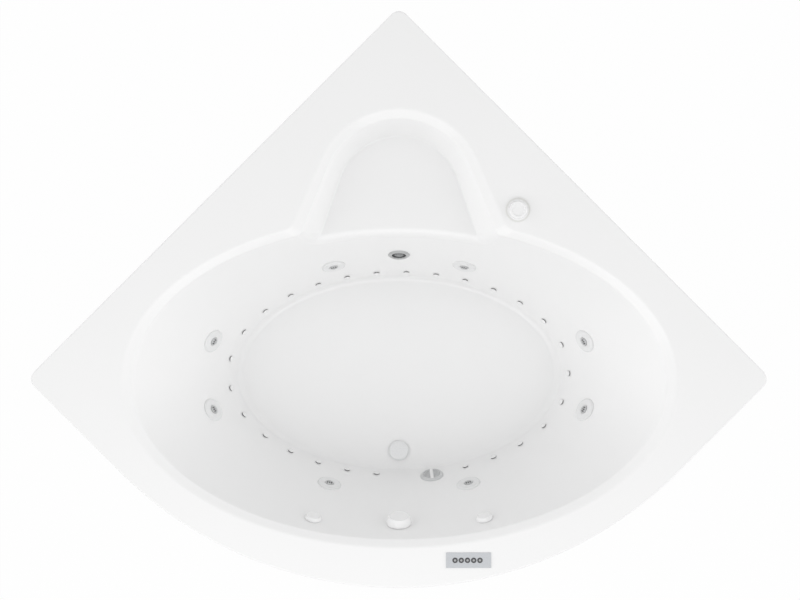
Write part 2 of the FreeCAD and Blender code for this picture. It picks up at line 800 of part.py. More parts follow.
def pump_wet_end():
    body = disc(wet_end_radius, motor_front, wet_end_front)
    body = body.fuse(disc(pump_port_radius, wet_end_front, inlet_end))
    chamber_end = wet_end_front - wet_end_wall
    chamber = disc(wet_end_radius - wet_end_wall, motor_front + wet_end_wall / 2, chamber_end)
    bore = disc(pump_port_radius - wet_end_wall / 2, chamber_end - 1, inlet_end + 1)
    shaft_hole = disc(pump_shaft_radius + shaft_gap, motor_front - 1, chamber_end)
    return along_pump(body.cut([chamber, bore, shaft_hole]))


def pump_motor():
    body = disc(motor_radius, motor_back, motor_front)
    for turn in rib_turns:
        rib = box(motor_radius - 1, motor_radius + rib_height, -rib_thickness / 2, rib_thickness / 2,
                  motor_back + rib_height, motor_front - rib_height)
        body = body.fuse(placed(rib, turned(turn)))
    cover = disc(motor_radius + fan_cover_wall, fan_cover_back, motor_back)
    cover = cover.cut(disc(motor_radius - fan_cover_wall, fan_cover_back + fan_cover_wall, motor_back))
    slot_start = pump_shaft_radius * 2
    for i in range(grille_slots):
        slot = box(slot_start, slot_start + grille_slot_length, -rib_thickness, rib_thickness,
                   fan_cover_back - 1, fan_cover_back + fan_cover_wall + 1)
        cover = cover.cut(placed(slot, turned(360.0 * i / grille_slots)))
    body = body.fuse(cover)
    return along_pump(body.cut(disc(pump_shaft_radius + shaft_gap, motor_back - 1, motor_front + 1)))


def pump_rotor():
    fan_start = fan_cover_back + 2 * fan_cover_wall
    impeller_back = motor_front + wet_end_wall
    impeller_front = impeller_back + impeller_thickness
    shaft = disc(pump_shaft_radius, fan_start, impeller_front)
    impeller = disc(impeller_radius, impeller_back, impeller_front)
    fan = disc(pump_shaft_radius * 2, fan_start, fan_start + fan_width)
    for i in range(fan_blades):
        blade = box(0, fan_radius, -rib_thickness / 2, rib_thickness / 2, fan_start, fan_start + fan_width)
        fan = fan.fuse(placed(blade, turned(360.0 * i / fan_blades)))
    return along_pump(shaft.fuse([impeller, fan]))


def pump_foot():
    low = long_top + pump_tray_thickness
    near = pump_y - foot_half_width
    far = pump_y + foot_half_width
    base = box(motor_back + foot_margin, motor_front - foot_margin, near, far, low, low + foot_plate)
    for x in (motor_back + 2 * foot_margin, motor_front - 2 * foot_margin - cradle_thickness):
        base = base.fuse(box(x, x + cradle_thickness, near, far, low, pump_z - cradle_drop))
    return base.cut(along_pump(disc(motor_radius + seat_gap, motor_back, motor_front)))


def pump_tray():
    reach = long_rail_x + rail_width / 2
    return box(-reach, reach, pump_y - pump_tray_width / 2, pump_y + pump_tray_width / 2,
               long_top, long_top + pump_tray_thickness)


def pump_terminal_box():
    x0 = (motor_front + motor_back) / 2 - terminal_length / 2
    top = pump_z + motor_radius + terminal_height
    body = box(x0, x0 + terminal_length, pump_y - terminal_width / 2, pump_y + terminal_width / 2,
               pump_z + terminal_foot, top)
    body = body.cut(along_pump(disc(motor_radius + seat_gap, motor_back, motor_front)))
    gland_end = V(x0 - 2 * gland_radius, pump_y, top - terminal_height / 2)
    gland = Part.makeCylinder(gland_radius, 2 * gland_radius, gland_end, V(1, 0, 0))
    return body.fuse(gland)


save("pump_wet_end", pump_wet_end())
save("pump_motor", pump_motor())
save("pump_rotor", pump_rotor())
save("pump_foot", pump_foot())
save("pump_tray", pump_tray())
save("pump_terminal_box", pump_terminal_box())

# ---------------------------------------------------------------- suction fitting and its pipe
suction_cover_radius = 35.75
suction_cover_face = 31.0
suction_cover_height = 7.0
suction_bar_width = 9.0
suction_dish_radius = 27.0
suction_dish_depth = 3.0
suction_body_depth = 55.0
suction_nut_flats = 76.0
suction_pipe_radius = 25.4
suction_run_z = 152.0
suction_stub = 66.0          # straight out of the suction body
suction_bend = 41.0
suction_route = [(-51.2, 199.2), (-16.8, 235.7), (23.5, 284.7)]   # turn round the basin and gap from it
inlet_run = 280.0            # straight into the pump

suction_lift = rim_lift(suction_turn, suction_height, suction_cover_radius)


def suction_cover():
    low = suction_lift
    top = low + suction_cover_height
    cover = cone(suction_cover_radius, suction_cover_face, low, top)
    dish = disc(suction_dish_radius, top - suction_dish_depth, top + 1)
    bar = box(-suction_bar_width / 2, suction_bar_width / 2, -suction_cover_radius, suction_cover_radius,
              low, top + 2)
    return placed(cover.cut(dish.cut(bar)), suction_spot)


def suction_body():
    body = disc(suction_barrel_radius, -suction_body_depth, suction_lift)
    nut = hexagon(suction_nut_flats, -behind_wall - foot_nut_height, -behind_wall)
    return placed(body.fuse(nut), suction_spot)


def suction_pipe():
    start = suction_spot.multVec(V(0, 0, -suction_body_depth))
    out = suction_spot.multVec(V(0, 0, -suction_body_depth - suction_stub))
    beside = [clear_of_basin(turn, gap, suction_run_z) for turn, gap in suction_route]
    points = [start, out] + beside + [V(inlet_end + inlet_run, pump_y, pump_z), V(inlet_end, pump_y, pump_z)]
    return pipe(points, suction_pipe_radius, suction_bend)


save("suction_cover", suction_cover())
save("suction_body", suction_body())
save("suction_pipe", suction_pipe())

# ---------------------------------------------------------------- hydro jets and their two manifolds
jet_face_radius = 36.0
jet_face_inner = 31.0
jet_face_height = 4.0
jet_nozzle_radius = 12.0
jet_nozzle_front = 5.5
jet_nozzle_back = 5.0
jet_tilt = 10.0              # degrees each way
jet_socket_gap = 0.2         # round the nozzle's corner at full tilt
jet_slot_width = 3.4
jet_slot_pitch = 6.2
jet_slot_length = 9.0
jet_slot_depth = 6.0
jet_body_flats = 62.0
jet_body_depth = 48.0
jet_hex_depth = 38.0
jet_neck_flats = 28.0
air_neck_flats = 11.0
air_tube_radius = 7.0
between_jets = [33.0, 50.0]  # turns at which the manifolds bend between an end jet and a back or front one
air_tube_rise = 34.0

# the nozzle's back corner swings out furthest when it is tilted as far as it goes
tilted_reach = jet_nozzle_radius * cos(radians(jet_tilt)) + jet_nozzle_back * sin(radians(jet_tilt))
jet_socket_radius = tilted_reach + jet_socket_gap
jet_lifts = [rim_lift(turn, jet_height, jet_face_radius) for turn in jet_turns]


def jet_face(spot, lift):
    face = cone(jet_face_radius, jet_face_inner, lift, lift + jet_face_height)
    sleeve = disc(jet_barrel_radius, -behind_wall, lift)
    socket = disc(jet_socket_radius, -behind_wall - 1, lift + jet_face_height + 1)
    return placed(face.fuse(sleeve).cut(socket), spot)


def jet_nozzle(spot, lift):
    front = lift + jet_nozzle_front
    nozzle = cone(jet_nozzle_radius, jet_nozzle_radius, lift - jet_nozzle_back, front, small_round_strips)
    slots = []
    for i in (-1, 0, 1):
        middle = i * jet_slot_pitch
        slots.append(box(middle - jet_slot_width / 2, middle + jet_slot_width / 2, -jet_slot_length / 2,
                         jet_slot_length / 2, front - jet_slot_depth, front + 1))
    return placed(nozzle.cut(slots), spot)


def ring_corner(spot, rise):
    end = spot.multVec(V(0, 0, -jet_body_depth - manifold_radius))
    return V(end.x, end.y, manifold_z + rise)


def beside_basin(turn, rise):
    """A corner of the manifold between two jets, as far from the basin as those at the jets."""
    spot = wall_spot(turn, manifold_z - floor_height)
    end = spot.multVec(V(0, 0, -jet_body_depth - 2 * manifold_radius))
    return V(end.x, end.y, manifold_z + rise)


def manifold_corners(rise, middle):
    """Corners of a pipe round the basin. middle holds those at the back, between the two back jets."""
    front = [beside_basin(-turn, rise) for turn in reversed(between_jets)]
    back = [beside_basin(turn, rise) for turn in between_jets]
    right = [ring_corner(jet_spots[6], rise)] + front
    right += [ring_corner(jet_spots[7], rise), ring_corner(jet_spots[0], rise)] + back
    right.append(ring_corner(jet_spots[1], rise))
    left = [V(-p.x, p.y, p.z) for p in reversed(right)]
    return right + middle + left


def water_manifold():
    return mitred_pipe(manifold_corners(0.0, []), manifold_radius)


def jet_air_manifold():
    return mitred_pipe(manifold_corners(air_tube_rise, [beside_basin(90.0, air_tube_rise)]), air_tube_radius)


def jet_body(spot):
    """Six-sided body with a water neck straight behind it and an air neck above."""
    body = hexagon(jet_body_flats, -jet_hex_depth, -behind_wall)
    body = body.fuse(hexagon(jet_neck_flats, -jet_body_depth - manifold_radius, -jet_hex_depth))
    air = spot.inverse().multVec(ring_corner(spot, air_tube_rise))
    body = body.fuse(hexagon(air_neck_flats, air.z, -jet_hex_depth / 2, air.x, air.y))
    return placed(body, spot).cut([water_pipe, air_pipe])


water_pipe = water_manifold()
air_pipe = jet_air_manifold()
save("water_manifold", water_pipe)
save("jet_air_manifold", air_pipe)
save("jet_bodies", [jet_body(spot) for spot in jet_spots])
save("jet_faces", [jet_face(spot, lift) for spot, lift in zip(jet_spots, jet_lifts)])
for number, (spot, lift) in enumerate(zip(jet_spots, jet_lifts), 1):
    save("jet_nozzle_%d" % number, jet_nozzle(spot, lift))

# ---------------------------------------------------------------- pipe from the pump to the water manifold
discharge_x = (motor_front + wet_end_front) / 2
discharge_radius = 17.0


def discharge_pipe():
    start = V(discharge_x, pump_y, manifold_z)
    back_run = ring_corner(jet_spots[1], 0.0)
    pipe_end = V(discharge_x, back_run.y + manifold_radius / 2, manifold_z)
    length = start.y - pipe_end.y
    run = Part.makeCylinder(discharge_radius, length, pipe_end, V(0, 1, 0))
    return run.cut([along_pump(disc(wet_end_radius, motor_front, wet_end_front)), water_pipe])


save("discharge_pipe", discharge_pipe())

# ---------------------------------------------------------------- air injectors, channel, blower and hose
cap_radius = 8.75
cap_neck_radius = 5.5
cap_thickness = 4.5
cap_stand_off = 0.1
cap_strips = 16              # flat strips that draw each small round cap
stem_flats = 20.0
stem_depth = 24.0
channel_depth = 18.0
channel_height = 20.0
blower_y = 590.0
blower_radius = 75.0
blower_height = 180.0
blower_mount_thickness = 6.0
blower_spout_radius = 19.0
blower_spout_height = 30.0
hose_radius = 19.0
hose_drop = 60.0             # top of the hose's loop below the deck
hose_bend = 60.0
hose_stub = 96.0             # straight into the channel
hose_route = [(102.3, 329.6, 0.0), (115.0, 209.1, 100.0)]   # turn round the basin, gap from it and fall
hose_spot_index = 9


def air_injector(spot):
    """Mushroom cap: narrow where it meets the wall, widest at its face."""
    face = cap_stand_off + cap_thickness
    return placed(cone(cap_neck_radius, cap_radius, cap_stand_off, face, cap_strips), spot)


def injector_stem(spot):
    return placed(hexagon(stem_flats, -stem_depth, -behind_wall), spot)


def channel_section(spot):
    half = channel_height / 2
    near = -stem_depth
    far = near - channel_depth
    corners = [spot.multVec(V(0, y, z)) for y, z in ((-half, near), (half, near), (half, far), (-half, far))]
    return Part.makePolygon(corners + corners[:1])


def air_channel():
    """Square duct behind the stems, open between its two ends at the suction."""
    first = injector_left_out[0]
    order = injector_spots[first:] + injector_spots[:first]
    return Part.makeLoft([channel_section(spot) for spot in order], True, True)


def blower_housing():
    low = long_top + blower_mount_thickness
    body = disc(blower_radius, low, low + blower_height)
    top = low + blower_height
    body = body.fuse(disc(blower_spout_radius, top, top + blower_spout_height))
    return moved_to(body, 0, blower_y, 0)


def blower_mount():
    return box(-blower_radius, blower_radius, blower_y - blower_radius, blower_y + blower_radius,
               long_top, long_top + blower_mount_thickness)


def blower_hose():
    spot = injector_spots[hose_spot_index]
    spout_top = long_top + blower_mount_thickness + blower_height + blower_spout_height
    end = spot.multVec(V(0, 0, -stem_depth - channel_depth))
    before = spot.multVec(V(0, 0, -stem_depth - channel_depth - hose_stub))
    top = deck_height - hose_drop
    route = [clear_of_basin(turn, gap, top - fall) for turn, gap, fall in hose_route]
    points = [V(0, blower_y, spout_top), V(0, blower_y, top)] + route + [before, end]
    print("hose bend radius", hose_bend)
    return pipe(points, hose_radius, hose_bend)


save("air_injectors", [air_injector(spot) for spot in injector_spots])
channel = air_channel()
save("air_channel", channel)
save("injector_stems", [injector_stem(spot).cut(channel) for spot in injector_spots])
save("blower_housing", blower_housing())
save("blower_mount", blower_mount())
save("blower_hose", blower_hose())

# ---------------------------------------------------------------- underwater light
bezel_radius = 32.5
bezel_face_radius = 28.0
bezel_height = 5.0
bezel_bore = 21.5
lens_radius = 14.0
lens_ring_height = 1.5
lens_dome_height = 3.0
light_housing_radius = 30.0
light_housing_depth = 45.0

light_lift = rim_lift(light_turn, light_height, bezel_radius)


def light_bezel():
    bezel = cone(bezel_radius, bezel_face_radius, light_lift, light_lift + bezel_height)
    bezel = bezel.fuse(disc(light_barrel_radius, -behind_wall, light_lift))
    return placed(bezel.cut(disc(bezel_bore, -behind_wall - 1, light_lift + bezel_height + 1)), light_spot)


def light_lens():
    low = light_lift
    lens = disc(bezel_bore - seat_gap, low - bezel_height, low + lens_ring_height)
    return placed(lens.fuse(disc(lens_radius, low, low + lens_dome_height)), light_spot)


def light_housing():
    return placed(disc(light_housing_radius, -light_housing_depth, -behind_wall), light_spot)


save("light_bezel", light_bezel())
save("light_lens", light_lens())
save("light_housing", light_housing())

# ---------------------------------------------------------------- control panel on the front deck
button_radius = 7.75
button_pitch = 18.0
button_count = 5
button_row_offset = -3.0
button_proud = 0.8
button_height = 5.5
button_travel = 1.0
control_box_depth = 36.0


def button_centre(index):
    return panel_x + button_row_offset + (index - (button_count - 1) / 2) * button_pitch


def panel_plate():
    plate = box(panel_x - panel_length / 2, panel_x + panel_length / 2, panel_y - panel_width / 2,
                panel_y + panel_width / 2, deck_height, deck_height + panel_thickness)
    holes = [disc(button_radius + running_gap, deck_height - 1, deck_height + panel_thickness + 1,
                  button_centre(i), panel_y) for i in range(button_count)]
    return plate.cut(holes)


def panel_button(index):
    top = deck_height + panel_thickness + button_proud
    button = cone(button_radius, button_radius, top - button_height, top, small_round_strips)
    return moved_to(button, button_centre(index), panel_y, 0)


def control_box():
    top = deck_height + panel_thickness + button_proud - button_height - button_travel - running_gap
    half_length = panel_length / 2 - panel_margin
    half_width = panel_width / 2 - panel_margin
    return box(panel_x - half_length, panel_x + half_length, panel_y - half_width, panel_y + half_width,
               top - control_box_depth, top)


save("panel_plate", panel_plate())
for index in range(button_count):
    save("panel_button_%d" % (index + 1), panel_button(index))
save("control_box", control_box())

# ---------------------------------------------------------------- air control knobs on deck and front wall
valve_flange_radius = 35.5
valve_flange_height = 3.0
deck_valve_depth = 70.0
knob_shaft_radius = 5.0
knob_shaft_depth = 20.0
deck_knob_radius = 26.0
deck_knob_top_radius = 24.0
deck_knob_height = 17.0
deck_knob_dish_radius = 17.5
deck_knob_dish_depth = 2.5
wall_knob_radius = 25.0
wall_knob_face_radius = 21.0
wall_knob_thickness = 12.0
wall_valve_depth = 55.0
wall_nut_flats = 46.0

wall_knob_lift = rim_lift(wall_knob_turn, wall_knob_height, wall_knob_radius)


def shaft_bore(top):
    return disc(knob_shaft_radius + shaft_gap, top - knob_shaft_depth - running_gap, top + 1)


def deck_air_valve():
    body = disc(valve_flange_radius, deck_height, deck_height + valve_flange_height)
    body = body.fuse(disc(deck_valve_radius, deck_height - deck_valve_depth, deck_height))
    return moved_to(body.cut(shaft_bore(deck_height + valve_flange_height)), deck_knob_x, deck_knob_y, 0)


def deck_air_knob():
    low = deck_height + valve_flange_height + running_gap
    top = low + deck_knob_height
    knob = cone(deck_knob_radius, deck_knob_top_radius, low, top)
    knob = knob.cut(disc(deck_knob_dish_radius, top - deck_knob_dish_depth, top + 1))
    knob = knob.fuse(disc(knob_shaft_radius, low - knob_shaft_depth, low))
    return moved_to(knob, deck_knob_x, deck_knob_y, 0)


def wall_air_valve(spot):
    body = disc(wall_valve_radius, -wall_valve_depth, wall_knob_lift)
    body = body.fuse(hexagon(wall_nut_flats, -behind_wall - foot_nut_height, -behind_wall))
    return placed(body.cut(shaft_bore(wall_knob_lift)), spot)


def wall_knob(spot):
    low = wall_knob_lift + running_gap
    knob = cone(wall_knob_radius, wall_knob_face_radius, low, low + wall_knob_thickness)
    return placed(knob.fuse(disc(knob_shaft_radius, low - knob_shaft_depth, low)), spot)


save("air_valve_bodies", [deck_air_valve()] + [wall_air_valve(spot) for spot in wall_knob_spots])
save("deck_air_knob", deck_air_knob())
save("wall_knob_left", wall_knob(wall_knob_spots[0]))
save("wall_knob_right", wall_knob(wall_knob_spots[1]))
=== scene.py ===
from math import atan2, cos, pi, radians, sin, sqrt, tan

import bpy
import numpy as np
from mathutils import Matrix, Vector


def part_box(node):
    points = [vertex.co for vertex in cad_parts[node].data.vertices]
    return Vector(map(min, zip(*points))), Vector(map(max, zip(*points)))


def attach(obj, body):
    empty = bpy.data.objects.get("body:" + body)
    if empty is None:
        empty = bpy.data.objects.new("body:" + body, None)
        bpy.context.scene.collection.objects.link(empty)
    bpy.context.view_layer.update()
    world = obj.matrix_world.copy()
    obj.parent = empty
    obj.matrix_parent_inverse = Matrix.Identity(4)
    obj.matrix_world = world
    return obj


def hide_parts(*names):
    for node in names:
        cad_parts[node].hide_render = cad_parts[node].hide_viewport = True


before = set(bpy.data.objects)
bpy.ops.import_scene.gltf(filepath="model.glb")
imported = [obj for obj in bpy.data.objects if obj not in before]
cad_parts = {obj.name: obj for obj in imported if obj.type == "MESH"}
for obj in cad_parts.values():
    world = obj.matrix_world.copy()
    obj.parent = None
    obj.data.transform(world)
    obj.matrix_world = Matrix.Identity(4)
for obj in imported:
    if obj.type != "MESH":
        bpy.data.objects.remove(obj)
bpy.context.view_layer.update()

# ---------------------------------------------------------------- bath shell
# One sheet of white acrylic, drawn by vacuum into an oval basin with a seat in the wall corner,
# and backed with sprayed glass fibre. Its deck ends in a lip that turns down all round.
deck_level = 1000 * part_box("tub_shell")[1][2]      # sizes in this file are in millimetres
wall_side = 1524.0
front_radius = 1143.0
corner_radius = 30.0
skin = 6.0
lip_drop = 45.0
lip_edge_radius = 5.0
drain_y = -468.4
drain_hole_radius = 24.5
basin_floor = (492.8, 294.8, -226.4, 140.0)        # half length, half width, centre and level
basin_crease = (775.6, 457.7, -237.8, 545.0)
basin_rim = (805.7, 479.7, -238.4, deck_level)
seat_flat = (183.0, 296.0, 19.0, 470.0)            # radius, centre, splay of the sides and level
seat_crease = (222.0, 302.0, 22.0, 545.0)
seat_rim = (247.0, 305.0, 23.5, deck_level)
crease_reach = 12.0                                # how far below a crease its rim band is let run

cove_blend = 13.0                                  # how far from a corner each rounding begins
crease_blend = 1.4
roll_blend = 2.4
seat_blend = 3.4
nose_blend = 21.0                                  # between basin and seat, low down
nose_start = 12.0                                  # above the seat's flat, where it starts to sharpen
corner_blend = 9.0                                 # the same edge at the crease
steepest_lean = 0.3                                # no face stands steeper than this cosine

lowest_oval, highest_wall = -560.0, 1600.0         # where a slanted wall's level is looked for
thinnest_oval = 0.01
search_margin = 5.0
wall_halvings, surface_halvings = 24, 22
slope_step = 0.5
normal_step = 0.4

corner_steps = 16
bow_steps = 121
outline_spacing = 8.0
seat_direction = 90                                # degrees
seat_side = 42                                     # degrees on each side of it with close rays
rays_by_seat = 0.22                                # degrees between rays of the mesh
rays_elsewhere = 0.7
trial_points = 700                                 # on each ray, before the spacing is known
points_on_ray = 200
bend_weight = 110.0                                # what a bend of one radian counts, in millimetres
sharpest_bend = 0.5
points_averaged = 9
rays_averaged = 8                                  # neighbours on each side
least_weight = 0.05
lip_edge_rows = 5
underside_step = 4
drawn_to_hole = (0.6, 1.35)                        # shares of the drain hole's radius
open_inside = 0.93
glossiest = 0.02                                   # roughness that no finish goes below

corner_reach = wall_side / sqrt(2)
apex_y = (wall_side * sqrt(2) - (front_radius - corner_radius) * (sqrt(2) - 1)) / 2
front_centre_y = apex_y - (wall_side - front_radius) * sqrt(2)


def curve_between(low, high, level):
    """Measures of the level curve that lies between a low and a high one."""
    share = (level - low[3]) / (high[3] - low[3])
    return [a + share * (b - a) for a, b in zip(low[:3], high[:3])]


def level_found(x, lowest, highest, halvings, is_open):
    """Level over each point of the plan above which the bath is open, found by halving."""
    bottom = np.full_like(x, lowest)
    top = np.full_like(x, highest)
    for _ in range(halvings):
        level = (bottom + top) / 2
        open_here = is_open(level)
        top = np.where(open_here, level, top)
        bottom = np.where(open_here, bottom, level)
    return (bottom + top) / 2


def oval_slope(x, y, low, high):
    """Level at which the slanted wall between two level ovals stands over a point of the plan."""
    def inside(level):
        length, width, centre = curve_between(low, high, level)
        length = np.maximum(length, thinnest_oval)
        width = np.maximum(width, thinnest_oval)
        return (x / length) ** 2 + ((y - centre) / width) ** 2 < 1

    return level_found(x, lowest_oval, highest_wall, wall_halvings, inside)


def arch_slope(x, y, low, high):
    """The same for the seat's arch: a round back with two sides that open towards the basin."""
    beside_seat = np.abs(x)

    def inside(level):
        radius, centre, splay = curve_between(low, high, level)
        lean = np.radians(splay)
        up = y - centre
        at_side = beside_seat * np.sin(lean) - up * np.cos(lean) > 0
        to_side = beside_seat * np.cos(lean) + up * np.sin(lean)
        reach = np.where(at_side, to_side, np.hypot(beside_seat, up))
        return (reach < radius) & (y > basin_floor[2])

    return level_found(x, 0.0, highest_wall, wall_halvings, inside)


def rounded_join(a, b, blend):
    """Two hollows run into each other over a rounded edge."""
    near = np.hypot(np.maximum(blend - a, 0), np.maximum(blend - b, 0))
    return np.maximum(blend, np.minimum(a, b)) - near


def rounded_meet(a, b, blend):
    """Two faces of one hollow meet in a cove."""
    near = np.hypot(np.maximum(blend + a, 0), np.maximum(blend + b, 0))
    return np.minimum(-blend, np.maximum(a, b)) + near


def surface_level(x, y):
    """Level of the white surface over each point of the plan."""
    faces = []
    for slope, low, high in ((oval_slope, basin_floor, basin_crease),
                             (oval_slope, basin_crease, basin_rim),
                             (arch_slope, seat_flat, seat_crease),
                             (arch_slope, seat_crease, seat_rim)):
        level = slope(x, y, low, high)
        rise_x = slope(x + slope_step, y, low, high) - level
        rise_y = slope(x, y + slope_step, low, high) - level
        if low in (basin_crease, seat_crease):
            level = np.maximum(level, low[3] - crease_reach)
        lean = 1 / np.sqrt(1 + (rise_x ** 2 + rise_y ** 2) / slope_step ** 2)
        faces.append((level, np.maximum(lean, steepest_lean)))

    def open_at(z):
        wall, rim, seat_wall, seat_edge = [(level - z) * lean for level, lean in faces]
        basin = rounded_meet(basin_floor[3] - z, wall, cove_blend)
        basin = rounded_join(basin, rim, crease_blend)
        seat = rounded_meet(seat_flat[3] - z, seat_wall, seat_blend)
        seat = rounded_join(seat, seat_edge, crease_blend)
        blend = np.interp(z, [seat_flat[3] + nose_start, seat_crease[3]], [nose_blend, corner_blend])
        hollow = rounded_join(basin, seat, blend)
        return rounded_join(hollow, deck_level - z, roll_blend) < 0

    return level_found(x, basin_floor[3] - search_margin, deck_level + search_margin,
                       surface_halvings, open_at)


def outline_points(inset):
    """The plan outline as close points: two walls, two short straight fronts and the bow."""
    bow = front_radius - inset
    end = Vector((bow / sqrt(2), front_centre_y - bow / sqrt(2)))
    apex = Vector((0, apex_y - inset * sqrt(2)))
    side = Vector((corner_reach - inset * sqrt(2), apex_y - corner_reach))

    def round_corner(corner, before, after):
        radius = max(corner_radius - inset, 1.0)
        back = (before - corner).normalized()
        ahead = (after - corner).normalized()
        half = back.angle(ahead) / 2
        centre = corner + (back + ahead).normalized() * (radius / sin(half))
        first = atan2(*(corner + back * (radius / tan(half)) - centre).yx)
        last = atan2(*(corner + ahead * (radius / tan(half)) - centre).yx)
        turn = (last - first + pi) % (2 * pi) - pi
        turns = [first + turn * i / corner_steps for i in range(corner_steps + 1)]
        return [centre + radius * Vector((cos(a), sin(a))) for a in turns]

    right = round_corner(side, apex, end)
    top = round_corner(apex, Vector((-side.x, side.y)), side)
    bow_arc = [Vector((bow * sin(a), front_centre_y - bow * cos(a)))
               for a in np.linspace(pi / 4, -pi / 4, bow_steps)]
    left = [Vector((-p.x, p.y)) for p in reversed(right)]
    corners = top + right + bow_arc + left + top[:1]
    points = []
    for a, b in zip(corners, corners[1:]):
        steps = max(1, int((b - a).length / outline_spacing))
        points += [a.lerp(b, i / steps) for i in range(steps)]
    return np.array([tuple(p) for p in points])


def ray_lengths(angles, inset):
    """Distance from the basin's middle to the outline along each ray."""
    points = outline_points(inset) - (0, basin_floor[2])
    around = np.arctan2(points[:, 1], points[:, 0])
    order = np.argsort(around)
    around = around[order]
    reach = np.hypot(points[:, 0], points[:, 1])[order]
    around = np.concatenate([around[-3:] - 2 * pi, around, around[:3] + 2 * pi])
    reach = np.concatenate([reach[-3:], reach, reach[:3]])
    return np.interp(angles, around, reach)


def ray_angles():
    """Directions of the mesh's rays from the basin's middle, closer together by the seat."""
    seat_starts, seat_ends = seat_direction - seat_side, seat_direction + seat_side
    by_seat = np.arange(seat_starts, seat_ends, rays_by_seat)
    elsewhere = np.arange(seat_ends, seat_starts + 360, rays_elsewhere)
    return np.radians((np.concatenate([by_seat, elsewhere]) + 180) % 360 - 180)


def points_along_rays(angles, full):
    """Distances of the mesh's points on each ray, closer together where the surface bends."""
    fine = (full[:, None] - lip_edge_radius) * np.linspace(0, 1, trial_points)[1:]
    level = surface_level(fine * np.cos(angles)[:, None],
                          fine * np.sin(angles)[:, None] + basin_floor[2])
    step = np.diff(fine, axis=1)
    rise = np.diff(level, axis=1)
    bend = np.abs(np.diff(np.arctan2(rise, step), axis=1))
    weight = np.hypot(step, rise)
    weight[:, 1:] += np.minimum(bend, sharpest_bend) * bend_weight
    soft = np.ones(points_averaged) / points_averaged
    weight = np.apply_along_axis(lambda row: np.convolve(row, soft, "same"), 1, weight)
    weight = weight + least_weight
    weight = sum(np.roll(weight, i, 0) for i in range(-rays_averaged, rays_averaged + 1))
    run = np.concatenate([np.zeros((len(angles), 1)), np.cumsum(weight, 1)], 1)
    run /= run[:, -1:]
    places = np.linspace(0, 1, points_on_ray)
    return np.stack([np.interp(places, along, reach) for along, reach in zip(run, fine)])


def surface_rows(angles, reach):
    """Rings of points on the white surface, from the middle outwards, and their normals."""
    x = reach * np.cos(angles)[:, None]
    y = reach * np.sin(angles)[:, None] + basin_floor[2]
    z = surface_level(x, y)
    lean_x = surface_level(x + normal_step, y) - surface_level(x - normal_step, y)
    lean_y = surface_level(x, y + normal_step) - surface_level(x, y - normal_step)
    lean_x = lean_x / (2 * normal_step)
    lean_y = lean_y / (2 * normal_step)
    up = 1 / np.sqrt(1 + lean_x ** 2 + lean_y ** 2)
    points = np.stack([x, y, z], 2)
    normals = np.stack([-lean_x * up, -lean_y * up, up], 2)
    return ([points[:, i] for i in range(points_on_ray)],
            [normals[:, i] for i in range(points_on_ray)])


def plan_points(angles, reach):
    """Points of the plan at a distance from the basin's middle along each ray."""
    return np.stack([reach * np.cos(angles), reach * np.sin(angles) + basin_floor[2]], 1)


def at_level(plan, level):
    """Points of the plan lifted to a level."""
    return np.concatenate([plan, np.full((len(plan), 1), level)], 1)


def lip_rows(deck_end, edge, inside):
    """Rings over the deck's rounded edge, down the lip and up its inner side, and their normals."""
    along = np.roll(edge, -1, 0) - np.roll(edge, 1, 0)
    out = np.stack([along[:, 1], -along[:, 0]], 1) / np.linalg.norm(along, axis=1)[:, None]
    outward = at_level(out, 0.0)
    down = np.tile([0.0, 0.0, -1.0], (len(edge), 1))
    rows = []
    normals = []
    for i in range(1, lip_edge_rows + 1):
        turn = pi / 2 * i / lip_edge_rows
        rows.append(at_level(deck_end + (edge - deck_end) * sin(turn),
                             deck_level - lip_edge_radius * (1 - cos(turn))))
        normals.append(outward * sin(turn) + np.array([0, 0, cos(turn)]))
    lip_bottom = deck_level - lip_drop
    for plan, level, normal in ((edge, lip_bottom, outward), (edge, lip_bottom, down),
                                (inside, lip_bottom, down), (inside, lip_bottom, -outward),
                                (inside, deck_level - 2 * skin, -outward)):
        rows.append(at_level(plan, level))
        normals.append(normal)
    return rows, normals


def ring_faces(rows, columns):
    """Faces between rows of points, each row a closed ring."""
    here = np.arange(columns)
    ahead = (here + 1) % columns
    faces = []
    for a, b in zip(rows, rows[1:]):
        faces.append(np.stack([a * columns + here, b * columns + here,
                               b * columns + ahead, a * columns + ahead], 1))
    return np.concatenate(faces)


